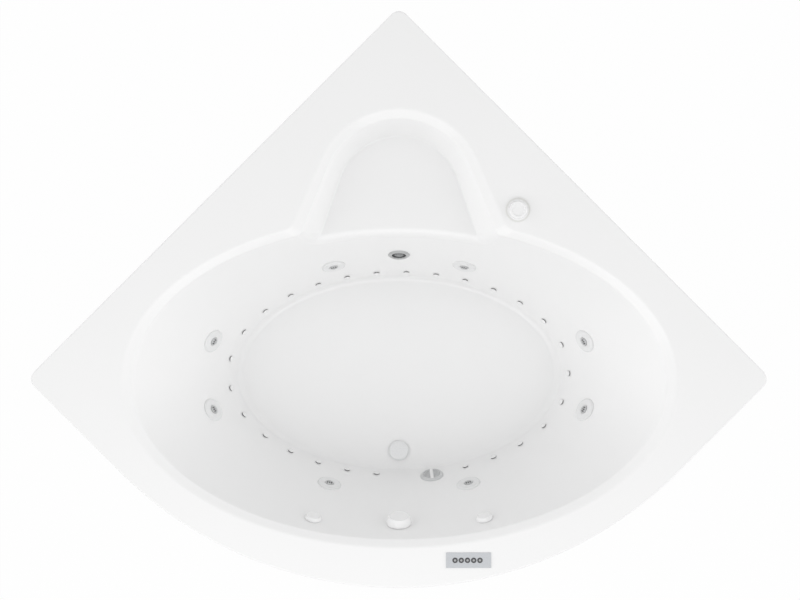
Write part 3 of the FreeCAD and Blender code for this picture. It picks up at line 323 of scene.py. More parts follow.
def bath_shell_mesh():
    """White surface and lip, then the sprayed underside, which follows them at the skin's depth."""
    angles = ray_angles()
    columns = len(angles)
    full = ray_lengths(angles, 0.0)
    inside = plan_points(angles, ray_lengths(angles, skin))
    rows, normals = surface_rows(angles, points_along_rays(angles, full))
    lip, lip_normals = lip_rows(rows[-1][:, :2], plan_points(angles, full), inside)
    under = range(points_on_ray - 1, 0, -underside_step)
    underside = [rows[i] - normals[i] * skin for i in under]
    underside[0] = at_level(inside, deck_level - skin)
    normals += lip_normals + [-normals[i] for i in under]
    rows += lip + underside

    lip_end = points_on_ray + lip_edge_rows + 1
    white_faces = np.concatenate([ring_faces(range(lip_end), columns),
                                  ring_faces(range(lip_end, lip_end + 2), columns)])
    faces = np.concatenate([white_faces, ring_faces(range(lip_end + 2, len(rows)), columns)])
    backing = np.arange(len(faces)) >= len(white_faces)
    vertices = np.concatenate(rows) / 1000

    # points near the drain hole's edge are drawn onto it, and the faces inside it are left out
    drain = np.array([0.0, drain_y / 1000])
    hole = drain_hole_radius / 1000
    away = vertices[:, :2] - drain
    distance = np.hypot(away[:, 0], away[:, 1])
    near = (distance > drawn_to_hole[0] * hole) & (distance < drawn_to_hole[1] * hole)
    vertices[near, :2] = drain + away[near] * (hole / distance[near])[:, None]
    middle = vertices[faces].mean(1)[:, :2] - drain
    keep = np.hypot(middle[:, 0], middle[:, 1]) > open_inside * hole

    centre_top = len(vertices)
    centre_y = basin_floor[2] / 1000
    vertices = np.concatenate([vertices, [[0, centre_y, basin_floor[3] / 1000],
                                          [0, centre_y, (basin_floor[3] - skin) / 1000]]])
    vertex_normals = np.concatenate(normals + [np.array([[0, 0, 1.0], [0, 0, -1.0]])])
    here = np.arange(columns)
    ahead = (here + 1) % columns
    last = (len(rows) - 1) * columns
    top_fan = [(centre_top, a, b) for a, b in zip(here, ahead)]
    low_fan = [(centre_top + 1, last + b, last + a) for a, b in zip(here, ahead)]
    mesh = bpy.data.meshes.new("bath_shell")
    mesh.from_pydata(vertices.tolist(), [], faces[keep].tolist() + top_fan + low_fan)
    mesh.polygons.foreach_set("use_smooth", [True] * len(mesh.polygons))
    kinds = list(backing[keep].astype(int)) + [0] * columns + [1] * columns
    mesh.polygons.foreach_set("material_index", kinds)
    mesh.normals_split_custom_set_from_vertices(vertex_normals.tolist())
    return mesh


def plain_finish(name, colour, roughness, metallic=0.0):
    """A material with its shader's own settings, ready for a pattern."""
    material = bpy.data.materials.new(name)
    material.use_nodes = True
    shader = material.node_tree.nodes["Principled BSDF"]
    shader.inputs["Base Color"].default_value = (*colour, 1)
    shader.inputs["Roughness"].default_value = roughness
    shader.inputs["Metallic"].default_value = metallic
    return material, material.node_tree.nodes, material.node_tree.links, shader


def two_tones(nodes, low, high):
    """A ramp between two tones of one surface."""
    tones = nodes.new("ShaderNodeValToRGB")
    tones.color_ramp.elements[0].position = 0.3
    tones.color_ramp.elements[1].position = 0.7
    tones.color_ramp.elements[0].color = (*low, 1)
    tones.color_ramp.elements[1].color = (*high, 1)
    return tones


def add_relief(nodes, links, height, shader, strength, depth):
    relief = nodes.new("ShaderNodeBump")
    relief.inputs["Strength"].default_value = strength
    relief.inputs["Distance"].default_value = depth
    links.new(height, relief.inputs["Height"])
    links.new(relief.outputs["Normal"], shader.inputs["Normal"])


def clouded_finish(name, colour, roughness, cloud, tone, gloss, relief, depth=0.001,
                   detail=3.0, metallic=0.0):
    """Tone and gloss that vary in soft clouds, with a fine relief, fixed to the piece itself."""
    material, nodes, links, shader = plain_finish(name, colour, roughness, metallic)
    place = nodes.new("ShaderNodeTexCoord")
    clouds = nodes.new("ShaderNodeTexNoise")
    clouds.inputs["Scale"].default_value = cloud
    clouds.inputs["Detail"].default_value = detail
    links.new(place.outputs["Object"], clouds.inputs["Vector"])
    tones = two_tones(nodes, [max(0, c - tone) for c in colour], [min(1, c + tone) for c in colour])
    links.new(clouds.outputs["Fac"], tones.inputs["Fac"])
    links.new(tones.outputs["Color"], shader.inputs["Base Color"])
    shine = nodes.new("ShaderNodeMapRange")
    shine.inputs["To Min"].default_value = max(glossiest, roughness - gloss)
    shine.inputs["To Max"].default_value = roughness + gloss
    links.new(clouds.outputs["Fac"], shine.inputs["Value"])
    links.new(shine.outputs["Result"], shader.inputs["Roughness"])
    add_relief(nodes, links, clouds.outputs["Fac"], shader, relief, depth)
    return material


def fitted(mesh, material, body, stands_for=None):
    """Puts a finished piece on its body, in place of the node that it stands for."""
    piece = bpy.data.objects.new(mesh.name, mesh)
    bpy.context.scene.collection.objects.link(piece)
    mesh.materials.append(material)
    if stands_for:
        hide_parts(stands_for)
    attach(piece, body)
    return piece


white_acrylic = clouded_finish("white_acrylic", (0.917, 0.917, 0.917), 0.2,
                               cloud=2.5, tone=0.004, gloss=0.02, relief=0.02, depth=0.002)
acrylic_shader = white_acrylic.node_tree.nodes["Principled BSDF"]
acrylic_shader.inputs["IOR"].default_value = 1.49
acrylic_shader.inputs["Coat Weight"].default_value = 0.15
acrylic_shader.inputs["Coat Roughness"].default_value = 0.05
fibre_backing = clouded_finish("fibre_backing", (0.62, 0.58, 0.48), 0.7,
                               cloud=260, tone=0.08, gloss=0.1, relief=0.8)
bath_shell = fitted(bath_shell_mesh(), white_acrylic, "bath", "tub_shell")
bath_shell.data.materials.append(fibre_backing)

# ---------------------------------------------------------------- hydro jets
# Each jet has a white screwed-on face ring with a stepped edge. In its middle sits a small grey
# nozzle with three slots, moulded in plastic, that swivels in the ring's socket.
# Dark blocks laid in the nozzle's three slots are painted shade, standing for the depth of the slots.
jet_height = 141.0
jet_turns = [17.35, 70.4, 109.6, 162.65, 197.35, 249.1, 290.9, 342.65]
jet_radius = 36.0
jet_profile = [(12.9, -4, 0), (12.9, 2.6, 0.6), (14.6, 3.9, 0.8), (16.4, 3.9, 0.6),
               (17.4, 3.0, 0.5), (29.5, 4.0, 1.6), (31.5, 4.0, 1.6), (jet_radius, 1.2, 0.8),
               (jet_radius, -3.0, 0)]
nozzle_profile = [(12.0, -4.8, 0), (12.0, 5.4, 1.4), (9.5, 5.4, 0.8), (8.8, 4.6, 0), (0, 4.6, 0)]
nozzle_slot_places = (-6.0, 0.0, 6.0)
nozzle_slot_half_width = 1.6
nozzle_slot_half_length = 4.6
nozzle_slot_levels = (3.0, 4.75)
most_of_a_side = 0.49                              # share of a side that one rounding may take
nearly_straight = 0.02                             # radians; a flatter corner isn't rounded
on_axis = 1e-4
sharp_edge = 38                                    # degrees; a flatter edge is drawn smooth


def wall_size(level):
    return curve_between(basin_floor, basin_crease, level)


def wall_seat(turn, height):
    """Seat of a fitting on the basin wall, its +Z into the bath and its +Y up along the wall."""
    level = basin_floor[3] + height
    length, width, centre = wall_size(level)
    a = radians(turn)
    length_gain, width_gain, shift, climb = [b - c for b, c in zip(basin_crease, basin_floor)]
    point = Vector((length * cos(a), centre + width * sin(a), level))
    along = Vector((-length * sin(a), width * cos(a), 0)).normalized()
    rise = Vector((length_gain * cos(a), shift + width_gain * sin(a), climb))
    normal = rise.cross(along).normalized()
    normal = normal if normal.z > 0 else -normal
    upward = normal.cross(along).normalized()
    upward = upward if upward.z > 0 else -upward
    seat = Matrix((upward.cross(normal), upward, normal)).transposed().to_4x4()
    seat.translation = point / 1000
    return seat


def round_seat(turn, height, radius):
    """The same for a round fitting, let out until its rim just clears the curved wall."""
    length, width, _ = wall_size(basin_floor[3] + height)
    a = radians(turn)
    bend = ((length * sin(a)) ** 2 + (width * cos(a)) ** 2) ** 1.5 / (length * width)
    lift = radius ** 2 / (2 * bend)
    return wall_seat(turn, height) @ Matrix.Translation((0, 0, lift / 1000))


def rounded_profile(corners, steps=5):
    """A half section given as corners (radius, level, rounding), with each corner rounded."""
    points = [Vector(corners[0][:2])]
    for before, here, after in zip(corners, corners[1:], corners[2:]):
        corner = Vector(here[:2])
        back = Vector(before[:2]) - corner
        ahead = Vector(after[:2]) - corner
        half = back.angle(ahead) / 2
        if here[2] <= 0 or abs(half - pi / 2) < nearly_straight:
            points.append(corner)
            continue
        reach = min(here[2] / tan(half), most_of_a_side * back.length,
                    most_of_a_side * ahead.length)
        radius = reach * tan(half)
        bisector = (back.normalized() + ahead.normalized()).normalized()
        centre = corner + bisector * (radius / sin(half))
        first = corner + back.normalized() * reach - centre
        last = corner + ahead.normalized() * reach - centre
        turn = first.angle_signed(last)
        for i in range(steps + 1):
            a = -turn * i / steps
            points.append(centre + Vector((first.x * cos(a) - first.y * sin(a),
                                           first.x * sin(a) + first.y * cos(a))))
    points.append(Vector(corners[-1][:2]))
    return points


def new_mesh(name, vertices, faces, rounded=True):
    """A mesh that is drawn smooth apart from its sharp edges, or flat throughout."""
    mesh = bpy.data.meshes.new(name)
    mesh.from_pydata(vertices, [], faces)
    if rounded:
        mesh.polygons.foreach_set("use_smooth", [True] * len(mesh.polygons))
        mesh.set_sharp_from_angle(angle=radians(sharp_edge))
    return mesh


def turned_mesh(name, corners, seats, around=48, steps=5):
    """Round pieces turned from one half section, one at each seat. A radius of 0 closes the end."""
    profile = rounded_profile(corners, steps)
    vertices = []
    faces = []
    for seat in seats:
        rings = []
        for p in profile:
            if p.x < on_axis:
                rings.append([len(vertices)])
                vertices.append(seat @ Vector((0, 0, p.y / 1000)))
                continue
            rings.append(list(range(len(vertices), len(vertices) + around)))
            for i in range(around):
                a = 2 * pi * i / around
                vertices.append(seat @ Vector((p.x * cos(a) / 1000, p.x * sin(a) / 1000, p.y / 1000)))
        for low, high in zip(rings, rings[1:]):
            for i in range(around):
                j = (i + 1) % around
                if len(low) == 1:
                    faces.append((low[0], high[j], high[i]))
                elif len(high) == 1:
                    faces.append((low[i], low[j], high[0]))
                else:
                    faces.append((low[i], low[j], high[j], high[i]))
    return new_mesh(name, vertices, faces)


def block_mesh(name, blocks, seat):
    """Small plain blocks given as low and high corners in a seat's own frame."""
    vertices = []
    faces = []
    for (x0, y0, z0), (x1, y1, z1) in blocks:
        base = len(vertices)
        for x, y, z in ((x0, y0, z0), (x1, y0, z0), (x1, y1, z0), (x0, y1, z0),
                        (x0, y0, z1), (x1, y0, z1), (x1, y1, z1), (x0, y1, z1)):
            vertices.append(seat @ Vector((x / 1000, y / 1000, z / 1000)))
        faces += [tuple(base + i for i in f) for f in
                  ((0, 3, 2, 1), (4, 5, 6, 7), (0, 1, 5, 4), (1, 2, 6, 5), (2, 3, 7, 6), (3, 0, 4, 7))]
    return new_mesh(name, vertices, faces, rounded=False)


white_plastic = clouded_finish("white_plastic", (0.915, 0.915, 0.915), 0.22,
                               cloud=90, tone=0.006, gloss=0.03, relief=0.03, depth=0.0003)
ring_plastic = clouded_finish("ring_plastic", (0.835, 0.838, 0.84), 0.25,
                              cloud=90, tone=0.006, gloss=0.03, relief=0.03, depth=0.0003)
grey_plastic = clouded_finish("grey_plastic", (0.56, 0.565, 0.57), 0.3,
                              cloud=120, tone=0.02, gloss=0.04, relief=0.05, depth=0.0003)
# dark finish: painted shade in the nozzle slots and under the injector caps, and the light's own dark
# ring
painted_shade_and_ring_dark = clouded_finish("painted_shade_and_ring_dark", (0.03, 0.03, 0.032), 0.5,
                           cloud=150, tone=0.01, gloss=0.05, relief=0.05, depth=0.0003)

jet_seats = [round_seat(turn, jet_height, jet_radius) for turn in jet_turns]
fitted(turned_mesh("jet_rings", jet_profile, jet_seats), ring_plastic, "bath",
       "jet_faces")
nozzle_slot_shade = [((x - nozzle_slot_half_width, -nozzle_slot_half_length, nozzle_slot_levels[0]),
                 (x + nozzle_slot_half_width, nozzle_slot_half_length, nozzle_slot_levels[1]))
                for x in nozzle_slot_places]
for number, seat in enumerate(jet_seats, 1):
    body = "nozzle_%d" % number
    nozzle = turned_mesh("jet_nozzle_face_%d" % number, nozzle_profile, [seat], 40)
    fitted(nozzle, grey_plastic, body, "jet_nozzle_%d" % number)
    # painted shade: dark blocks in each nozzle's three slots
    fitted(block_mesh("jet_nozzle_slots_%d" % number, nozzle_slot_shade, seat), painted_shade_and_ring_dark, body)

# ---------------------------------------------------------------- air injectors
# Small white mushroom caps in a row just above the floor, pressed on stems behind the wall. Air
# leaves through a slot on the upper side of each cap. The short dark crescent drawn there is painted
# shade under the cap's edge.
injector_height = 42.0
injector_places = 29
injector_left_out = (22, 23)                       # where the suction cover is in the way
injector_profile = [(4.5, 0.0, 0), (5.5, 2.4, 0), (8.6, 2.5, 0.4), (8.7, 3.6, 0.9),
                    (6.0, 4.7, 1.2), (0, 4.9, 0)]
# painted shade: sizes of the dark crescent laid under each cap's upper edge
shade_crescent_radii = (8.0, 10.2)
shade_crescent_level = 2.6
shade_crescent_half_height = 0.4
shade_crescent_span = 130                                   # degrees
shade_crescent_steps = 14
shade_crescent_thinnest = 0.12                              # share of the full width that its ends keep
oval_steps = 2880


def injector_turns():
    """Angles of equal steps along the oval at the injectors' height."""
    length, width, _ = wall_size(basin_floor[3] + injector_height)
    middle = (np.arange(oval_steps) + 0.5) * 2 * pi / oval_steps
    run = np.cumsum(np.hypot(length * np.sin(middle), width * np.cos(middle)))
    run = np.concatenate([[0], run])
    degrees_round = np.arange(oval_steps + 1) * 360 / oval_steps
    return [float(np.interp(run[-1] * i / injector_places, run, degrees_round))
            for i in range(injector_places) if i not in injector_left_out]


def shade_crescent_mesh(name, seats):
    """Painted shade under the caps' upper edges: a thin dark band round part of a circle, widest in
    its middle, on each seat.
    """
    inner, outer = shade_crescent_radii
    high, low = shade_crescent_level + shade_crescent_half_height, shade_crescent_level - shade_crescent_half_height
    vertices = []
    faces = []
    for seat in seats:
        base = len(vertices)
        for i in range(shade_crescent_steps + 1):
            a = pi / 2 + radians(shade_crescent_span) * (i / shade_crescent_steps - 0.5)
            near = outer - (outer - inner) * max(sin(pi * i / shade_crescent_steps), shade_crescent_thinnest)
            for r, z in ((near, high), (outer, shade_crescent_level), (outer, low), (near, low)):
                vertices.append(seat @ Vector((r * cos(a) / 1000, r * sin(a) / 1000, z / 1000)))
        for i in range(shade_crescent_steps):
            for j in range(4):
                k = (j + 1) % 4
                faces.append((base + 4 * i + j, base + 4 * i + k,
                              base + 4 * i + 4 + k, base + 4 * i + 4 + j))
    return new_mesh(name, vertices, faces, rounded=False)


injector_seats = [wall_seat(turn, injector_height) for turn in injector_turns()]
fitted(turned_mesh("air_injector_caps", injector_profile, injector_seats, 28, 3), white_plastic,
       "bath", "air_injectors")
# painted shade under each cap's upper edge, in the dark finish
fitted(shade_crescent_mesh("air_injector_shade_crescents", injector_seats), painted_shade_and_ring_dark, "bath")

# ---------------------------------------------------------------- overflow dial
# A stout round cap of glossy white plastic over the overflow. It is turned by hand, and a cable
# behind it lifts the plug.
overflow_turn = -90.0
overflow_height = 320.5
overflow_radius = 37.0
overflow_seat = round_seat(overflow_turn, overflow_height, overflow_radius)
dial_profile = [(6.0, 0.4, 0), (34.0, 0.4, 0.5), (36.9, 1.6, 0.8), (36.4, 8.0, 4.0),
                (31.0, 25.2, 3.0), (27.5, 25.2, 1.0), (25.5, 24.0, 1.0), (0, 24.0, 0)]
fitted(turned_mesh("overflow_dial_cap", dial_profile, [overflow_seat], 96), white_plastic,
       "overflow_dial", "overflow_knob")

# ---------------------------------------------------------------- plug and drain flange
# The waste has a chromed flange on the basin floor. The plug is a satin metal cap on a stem that
# rises through the flange.
plug_profile = [(5.0, -40.0, 0), (5.0, 2.9, 0), (29.0, 2.9, 0.3), (31.2, 3.6, 0.6),
                (31.2, 5.2, 1.2), (26.0, 6.8, 3.0), (0, 7.0, 0)]
flange_profile = [(20.0, -22.0, 0), (20.0, 1.6, 0.8), (21.5, 2.5, 0.6), (27.0, 2.5, 1.5),
                  (30.0, 0.4, 0.4), (30.0, -0.4, 0)]
drain_seat = Matrix.Translation((0, drain_y / 1000, basin_floor[3] / 1000))
satin_metal = clouded_finish("satin_metal", (0.75, 0.755, 0.76), 0.35, cloud=300, tone=0.03,
                             gloss=0.06, relief=0.05, depth=0.0002, metallic=0.4)
chrome = clouded_finish("chrome", (0.72, 0.72, 0.73), 0.08, cloud=60, tone=0.01,
                        gloss=0.03, relief=0.01, depth=0.0003, metallic=1.0)


def give_finish(material, *nodes):
    """Gives pieces that keep their own shape their finish."""
    for node in nodes:
        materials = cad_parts[node].data.materials
        materials.clear()
        materials.append(material)


fitted(turned_mesh("drain_plug_cap", plug_profile, [drain_seat], 96), satin_metal, "plug",
       "drain_plug")
fitted(turned_mesh("drain_flange_ring", flange_profile, [drain_seat], 96), chrome, "bath")
give_finish(chrome, "drain_flange")

# ---------------------------------------------------------------- suction cover
# A grey moulded disc screwed over the pump's suction. A smooth bar crosses it upright, and on both
# sides water enters through a dished grating.
suction_turn = -79.1
suction_height = 59.4
suction_radius = 35.75
suction_seat = round_seat(suction_turn, suction_height, suction_radius)
cover_profile = [(35.7, -2.0, 0), (35.7, 1.5, 0.6), (33.0, 4.6, 2.0), (31.0, 6.9, 1.0),
                 (27.6, 6.9, 0.8), (27.0, 4.2, 0.3), (0, 4.2, 0)]
cover_bar = ((-4.4, -29.5, 3.9), (4.4, 29.5, 7.2))
bar_rounding = 1.2
grating_radius = 25.5
grating_slots = 5                                  # on each side of the bar
first_slot = 8.0
slot_pitch = 3.9
slot_half_width = 1.1
slot_levels = (3.0, 4.35)
cover_grey = clouded_finish("cover_grey", (0.66, 0.668, 0.672), 0.35,
                            cloud=140, tone=0.015, gloss=0.05, relief=0.06, depth=0.0003)
# painted shade: the darker grey of the grating's openings
grating_shade_grey = clouded_finish("grating_shade_grey", (0.42, 0.425, 0.43), 0.5,
                              cloud=150, tone=0.01, gloss=0.05, relief=0.05, depth=0.0003)
fitted(turned_mesh("suction_cover_ring", cover_profile, [suction_seat], 80), cover_grey, "bath",
       "suction_cover")
bar = fitted(block_mesh("suction_cover_bar", [cover_bar], suction_seat), white_plastic, "bath")
bar_edges = bar.modifiers.new("rounded_edges", "BEVEL")
bar_edges.width = bar_rounding / 1000
bar_edges.segments = 3
# painted shade: flat grey strips laid where the grating's slots are, standing for the shade in them
slots = []
for side in (-1, 1):
    for i in range(grating_slots):
        middle = side * (first_slot + slot_pitch * i)
        half = sqrt(grating_radius ** 2 - middle ** 2)
        slots.append(((middle - slot_half_width, -half, slot_levels[0]),
                      (middle + slot_half_width, half, slot_levels[1])))
fitted(block_mesh("suction_cover_slot_shade", slots, suction_seat), grating_shade_grey, "bath")

# ---------------------------------------------------------------- underwater light
# A grey bezel holds a dark ring and a pale frosted lens, set into the back wall between the two
# back jets.
light_turn = 90.0
light_height = 178.4
light_radius = 32.5
light_seat = round_seat(light_turn, light_height, light_radius)
bezel_profile = [(21.5, -4.0, 0), (21.5, 3.2, 0.6), (24.0, 4.9, 0.8), (28.0, 4.9, 1.5),
                 (32.4, 1.4, 0.8), (32.4, -3.0, 0)]
ring_profile = [(21.2, -4.5, 0), (21.2, 1.2, 0.4), (15.6, 1.2, 0.4), (14.6, 0.4, 0.2),
                (14.0, 0.4, 0.2)]
lens_profile = [(14.0, 0.3, 0), (14.0, 1.6, 0.6), (9.0, 2.8, 4.0), (0, 3.0, 0)]
bezel_grey = clouded_finish("bezel_grey", (0.50, 0.505, 0.505), 0.3,
                            cloud=120, tone=0.015, gloss=0.05, relief=0.05, depth=0.0003)
lens_pale = clouded_finish("lens_pale", (0.20, 0.205, 0.21), 0.12,
                              cloud=200, tone=0.03, gloss=0.04, relief=0.05, depth=0.0003)
fitted(turned_mesh("light_bezel_ring", bezel_profile, [light_seat], 80), bezel_grey, "bath",
       "light_bezel")
fitted(turned_mesh("light_dark_ring", ring_profile, [light_seat], 64), painted_shade_and_ring_dark, "bath",
       "light_lens")
fitted(turned_mesh("light_glass", lens_profile, [light_seat], 64), lens_pale, "bath")

# ---------------------------------------------------------------- air control knobs
# Three knobs let air into the jets: a large one on the deck, on a low flange, with a flat ring
# round a dished middle, and two small white ones high on the front wall.
wall_knob_turn = 69.9
wall_knob_height = 342.3
wall_knob_radius = 25.0
wall_knob_profile = [(5.0, 0.4, 0), (22.0, 0.4, 0.3), (25.0, 1.2, 0.8), (24.4, 5.0, 3.0),
                     (21.0, 12.2, 2.0), (17.5, 12.2, 1.0), (16.5, 11.2, 1.0), (0, 11.2, 0)]
deck_knob_place = (344.3, 259.1)
deck_knob_profile = [(5.0, 3.4, 0), (24.0, 3.4, 0.3), (26.0, 4.6, 0.8), (25.6, 17.6, 1.6),
                     (23.0, 20.2, 1.4), (18.6, 20.2, 0.8), (17.4, 18.0, 0.8), (0, 17.8, 0)]
deck_flange_profile = [(12.0, 0.1, 0), (35.4, 0.1, 0), (35.5, 0.4, 0.1), (31.0, 3.0, 2.0),
                       (28.0, 3.1, 0), (12.0, 3.1, 0)]
for side, turn in (("left", -180 + wall_knob_turn), ("right", -wall_knob_turn)):
    knob_seat = round_seat(turn, wall_knob_height, wall_knob_radius)
    fitted(turned_mesh("wall_knob_cap_" + side, wall_knob_profile, [knob_seat], 72), white_plastic,
           side + "_knob", "wall_knob_" + side)
deck_seat = Matrix.Translation((deck_knob_place[0] / 1000, deck_knob_place[1] / 1000,
                                deck_level / 1000))
fitted(turned_mesh("deck_knob_cap", deck_knob_profile, [deck_seat], 96), white_plastic, "deck_knob",
       "deck_air_knob")
fitted(turned_mesh("deck_knob_flange", deck_flange_profile, [deck_seat], 96), white_plastic, "bath")

# ---------------------------------------------------------------- control panel
# A brushed metal plate lies on the front deck. Five round rubber buttons with dark rings stand in
# its holes, and the control box hangs below the deck.
panel_low, panel_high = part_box("panel_plate")
panel_x = 1000 * (panel_low[0] + panel_high[0]) / 2
panel_y = 1000 * (panel_low[1] + panel_high[1]) / 2
button_pitch = 18.0
button_row_offset = -3.0
button_profile = [(7.7, -2.0, 0), (7.7, 2.3, 0.3), (7.0, 2.8, 0.4), (4.0, 2.8, 0.3),
                  (3.6, 2.5, 0), (0, 2.5, 0)]
dot_profile = [(3.3, 2.4, 0), (3.3, 2.9, 0.3), (0, 3.0, 0)]
brushed_plate = clouded_finish("brushed_plate", (0.50, 0.515, 0.535), 0.38, cloud=900, tone=0.05,
                               gloss=0.08, relief=0.12, depth=0.0002, detail=2.0, metallic=0.65)
button_dark = clouded_finish("button_dark", (0.075, 0.076, 0.08), 0.5,
                             cloud=200, tone=0.01, gloss=0.05, relief=0.05, depth=0.0002)
button_grey = clouded_finish("button_grey", (0.42, 0.425, 0.43), 0.4,
                             cloud=200, tone=0.02, gloss=0.05, relief=0.05, depth=0.0002)
give_finish(brushed_plate, "panel_plate")
for number in range(1, 6):
    button_x = panel_x + button_row_offset + (number - 3) * button_pitch
    place = Matrix.Translation((button_x / 1000, panel_y / 1000, deck_level / 1000))
    body = "button_%d" % number
    fitted(turned_mesh("button_ring_%d" % number, button_profile, [place], 40), button_dark, body,
           "panel_button_%d" % number)
    fitted(turned_mesh("button_dot_%d" % number, dot_profile, [place], 32), button_grey, body)

# ---------------------------------------------------------------- apron
# A bowed panel of white acrylic hangs under the front lip and hides the frame. Its edges turn
# inwards, and brackets on the frame hold it, so that it lifts off for service.
apron_inset = 3.0
apron_thickness = 4.0
apron_flange = 20.0
apron_edge = 3.0
apron_end_gap = 35.0
apron_columns = 260
apron_low, apron_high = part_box("apron_panel")
apron_bottom = 1000 * apron_low[2]
apron_top = 1000 * apron_high[2]


def apron_mesh():
    """The apron's section, a channel open to the back, drawn along the front of the outline."""
    inner = apron_inset + apron_thickness
    flange_end = inner + apron_flange
    section = [(flange_end, apron_bottom + apron_thickness, 0.5),
               (inner, apron_bottom + apron_thickness, 2.0),
               (inner, apron_top - apron_thickness, 2.0),
               (flange_end, apron_top - apron_thickness, 0.5),
               (flange_end, apron_top, 0.5),
               (apron_inset, apron_top, apron_edge),
               (apron_inset, apron_bottom, apron_edge),
               (flange_end, apron_bottom, 0.5),
               (flange_end, apron_bottom + apron_thickness, 0.5)]
    rows = []
    for p in rounded_profile(section, 4):
        points = outline_points(p.x)
        points = points[np.abs(points[:, 0]) + points[:, 1] < apex_y - apron_end_gap * sqrt(2)]
        path = points[np.argsort(-np.arctan2(points[:, 0], -points[:, 1] + basin_floor[2]))]
        run = np.cumsum(np.linalg.norm(np.diff(path, axis=0), axis=1))
        run = np.concatenate([[0], run])
        steps = np.linspace(0, run[-1], apron_columns)
        plan = np.stack([np.interp(steps, run, path[:, 0]), np.interp(steps, run, path[:, 1])], 1)
        rows.append(at_level(plan, p.y))
    faces = []
    for a in range(len(rows) - 1):
        for i in range(a * apron_columns, (a + 1) * apron_columns - 1):
            faces.append((i, i + 1, i + apron_columns + 1, i + apron_columns))
    return new_mesh("apron", (np.concatenate(rows) / 1000).tolist(), faces)


apron_white = clouded_finish("apron_white", (0.917, 0.917, 0.917), 0.2,
                             cloud=3.0, tone=0.004, gloss=0.03, relief=0.03, depth=0.002)
fitted(apron_mesh(), apron_white, "apron", "apron_panel")

# ---------------------------------------------------------------- frame, boards and plumbing below
# Welded steel tube carries the bath on levelling feet. Plywood stiffens the floor, and pump, blower
# and white PVC pipework hang in the frame behind the apron.
frame_paint = clouded_finish("frame_paint", (0.30, 0.31, 0.32), 0.45,
                             cloud=60, tone=0.02, gloss=0.08, relief=0.15, depth=0.0004)
zinc = clouded_finish("zinc", (0.62, 0.63, 0.64), 0.35, cloud=80, tone=0.05,
                      gloss=0.1, relief=0.1, depth=0.0003, metallic=0.9)
pvc_white = clouded_finish("pvc_white", (0.78, 0.78, 0.76), 0.4,
                           cloud=40, tone=0.02, gloss=0.06, relief=0.05, depth=0.0004)
housing_black = clouded_finish("housing_black", (0.035, 0.035, 0.038), 0.5,
                               cloud=500, tone=0.008, gloss=0.08, relief=0.25, depth=0.0003)
motor_grey = clouded_finish("motor_grey", (0.16, 0.17, 0.185), 0.45,
                            cloud=300, tone=0.015, gloss=0.08, relief=0.2, depth=0.0003)
rubber = clouded_finish("rubber", (0.03, 0.03, 0.03), 0.8,
                        cloud=200, tone=0.01, gloss=0.1, relief=0.2, depth=0.0003)


def plywood_finish():
    """Grain drawn out along the board."""
    material, nodes, links, shader = plain_finish("plywood", (0.55, 0.40, 0.24), 0.6)
    place = nodes.new("ShaderNodeTexCoord")
    stretch = nodes.new("ShaderNodeMapping")
    stretch.inputs["Scale"].default_value = (2.0, 30.0, 30.0)
    grain = nodes.new("ShaderNodeTexNoise")
    grain.inputs["Scale"].default_value = 4.0
    grain.inputs["Detail"].default_value = 8.0
    grain.inputs["Distortion"].default_value = 0.6
    tones = two_tones(nodes, (0.36, 0.24, 0.13), (0.62, 0.47, 0.30))
    links.new(place.outputs["Object"], stretch.inputs["Vector"])
    links.new(stretch.outputs["Vector"], grain.inputs["Vector"])
    links.new(grain.outputs["Fac"], tones.inputs["Fac"])
    links.new(tones.outputs["Color"], shader.inputs["Base Color"])
    add_relief(nodes, links, grain.outputs["Fac"], shader, strength=0.3, depth=0.0006)
    return material


give_finish(frame_paint, "frame_rails", "frame_posts", "apron_brackets", "pump_tray",
            "blower_mount")
give_finish(zinc, "levelling_feet", "foot_nuts", "pump_rotor")
give_finish(plywood_finish(), "base_board", "rim_battens")
give_finish(pvc_white, "jet_bodies", "water_manifold", "discharge_pipe", "suction_pipe",
            "suction_body", "jet_air_manifold", "overflow_pipe", "overflow_body", "drain_shoe",
            "waste_tailpiece", "injector_stems", "air_channel", "blower_hose", "air_valve_bodies",
            "light_housing")
give_finish(housing_black, "pump_wet_end", "pump_foot", "pump_terminal_box", "blower_housing",
            "control_box", "plug_cable")
give_finish(motor_grey, "pump_motor")
give_finish(rubber, "waste_gaskets")

# ---------------------------------------------------------------- room, light and camera
# A plain white floor, in a room whose soft light is strongest from the two sides and weakest from
# the ends. One broad lamp hangs above the front, and the camera is straight above the bath.
light_from_above = 0.575
light_from_sides = 1.8
light_from_ends = 0.34
floor_block = ((-9000, -9000, -40), (9000, 9000, -0.2))
floor_tone = (0.5, 0.5, 0.5)                       # of the light that it sends back
floor_whiteness = 0.985                            # the rest shows the shadow
lamp_place = (-0.3, -2.6, 3.4)                     # in metres
lamp_target = (0, -0.3, 0.3)
lamp_size = (4.5, 2.6)
lamp_power = 36.5
camera_place = (3.2, -1.6, deck_level + 5785.0)
camera_lens = 90
camera_sensor = 36

world = bpy.data.worlds.new("white_room")
bpy.context.scene.world = world
world.use_nodes = True
room_nodes = world.node_tree.nodes
room_links = world.node_tree.links
room_light = room_nodes["Background"]
room_light.inputs["Color"].default_value = (1, 1, 1, 1)


def worked_out(nodes, links, operation, *values):
    """One step of arithmetic in the room's light or the floor."""
    step = nodes.new("ShaderNodeMath")
    step.operation = operation
    for socket, value in zip(step.inputs, values):
        if isinstance(value, float):
            socket.default_value = value
        else:
            links.new(value, socket)
    return step.outputs[0]


def seen_plainly(nodes, links):
    """1 for rays that show a thing, directly or mirrored, and 0 for rays that carry its light."""
    path = nodes.new("ShaderNodeLightPath")
    total = path.outputs["Is Camera Ray"]
    for kind in ("Is Glossy Ray", "Is Transmission Ray"):
        total = worked_out(nodes, links, "MAXIMUM", total, path.outputs[kind])
    return total


def in_room(operation, *values):
    return worked_out(room_nodes, room_links, operation, *values)


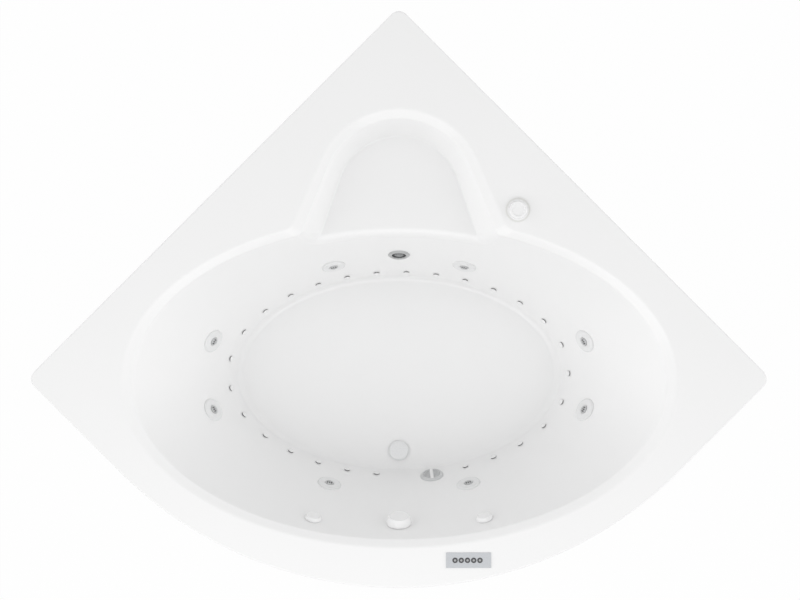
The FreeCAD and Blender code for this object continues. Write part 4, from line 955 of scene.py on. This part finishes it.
room_direction = room_nodes.new("ShaderNodeTexCoord")
room_axes = room_nodes.new("ShaderNodeSeparateXYZ")
room_links.new(room_direction.outputs["Generated"], room_axes.inputs[0])
glows = []
for axis, strength in (("Z", light_from_above), ("X", light_from_sides), ("Y", light_from_ends)):
    squared = in_room("MULTIPLY", room_axes.outputs[axis], room_axes.outputs[axis])
    glows.append(in_room("MULTIPLY", squared, strength))
soft_light = in_room("ADD", in_room("ADD", glows[0], glows[1]), glows[2])
plain = seen_plainly(room_nodes, room_links)
soft_light = in_room("MULTIPLY", soft_light, in_room("SUBTRACT", 1.0, plain))
room_links.new(in_room("ADD", soft_light, plain), room_light.inputs["Strength"])

floor_mesh = block_mesh("studio_floor", [floor_block], Matrix.Identity(4))
studio_floor = bpy.data.objects.new("studio_floor", floor_mesh)
bpy.context.scene.collection.objects.link(studio_floor)
studio_white, floor_nodes, floor_links, floor_shader = plain_finish("studio_white", floor_tone, 0.9)
glow = floor_nodes.new("ShaderNodeEmission")
glow.inputs["Strength"].default_value = 1.0
shown_white = worked_out(floor_nodes, floor_links, "MULTIPLY",
                         seen_plainly(floor_nodes, floor_links), floor_whiteness)
mix = floor_nodes.new("ShaderNodeMixShader")
floor_links.new(shown_white, mix.inputs[0])
floor_links.new(floor_shader.outputs[0], mix.inputs[1])
floor_links.new(glow.outputs[0], mix.inputs[2])
floor_links.new(mix.outputs[0], floor_nodes["Material Output"].inputs["Surface"])
studio_floor.data.materials.append(studio_white)

softbox_light = bpy.data.lights.new("front_softbox", "AREA")
softbox_light.shape = "RECTANGLE"
softbox_light.size, softbox_light.size_y = lamp_size
softbox_light.energy = lamp_power
softbox = bpy.data.objects.new("front_softbox", softbox_light)
softbox.location = lamp_place
softbox.rotation_mode = "QUATERNION"
softbox.rotation_quaternion = (Vector(lamp_target) - Vector(lamp_place)).to_track_quat("-Z", "Y")
bpy.context.scene.collection.objects.link(softbox)

camera_data = bpy.data.cameras.new("camera")
camera_data.lens = camera_lens
camera_data.sensor_width = camera_sensor
camera = bpy.data.objects.new("camera", camera_data)
camera.location = [size / 1000 for size in camera_place]
bpy.context.scene.collection.objects.link(camera)
bpy.context.scene.camera = camera
bpy.context.scene.view_settings.view_transform = "Standard"
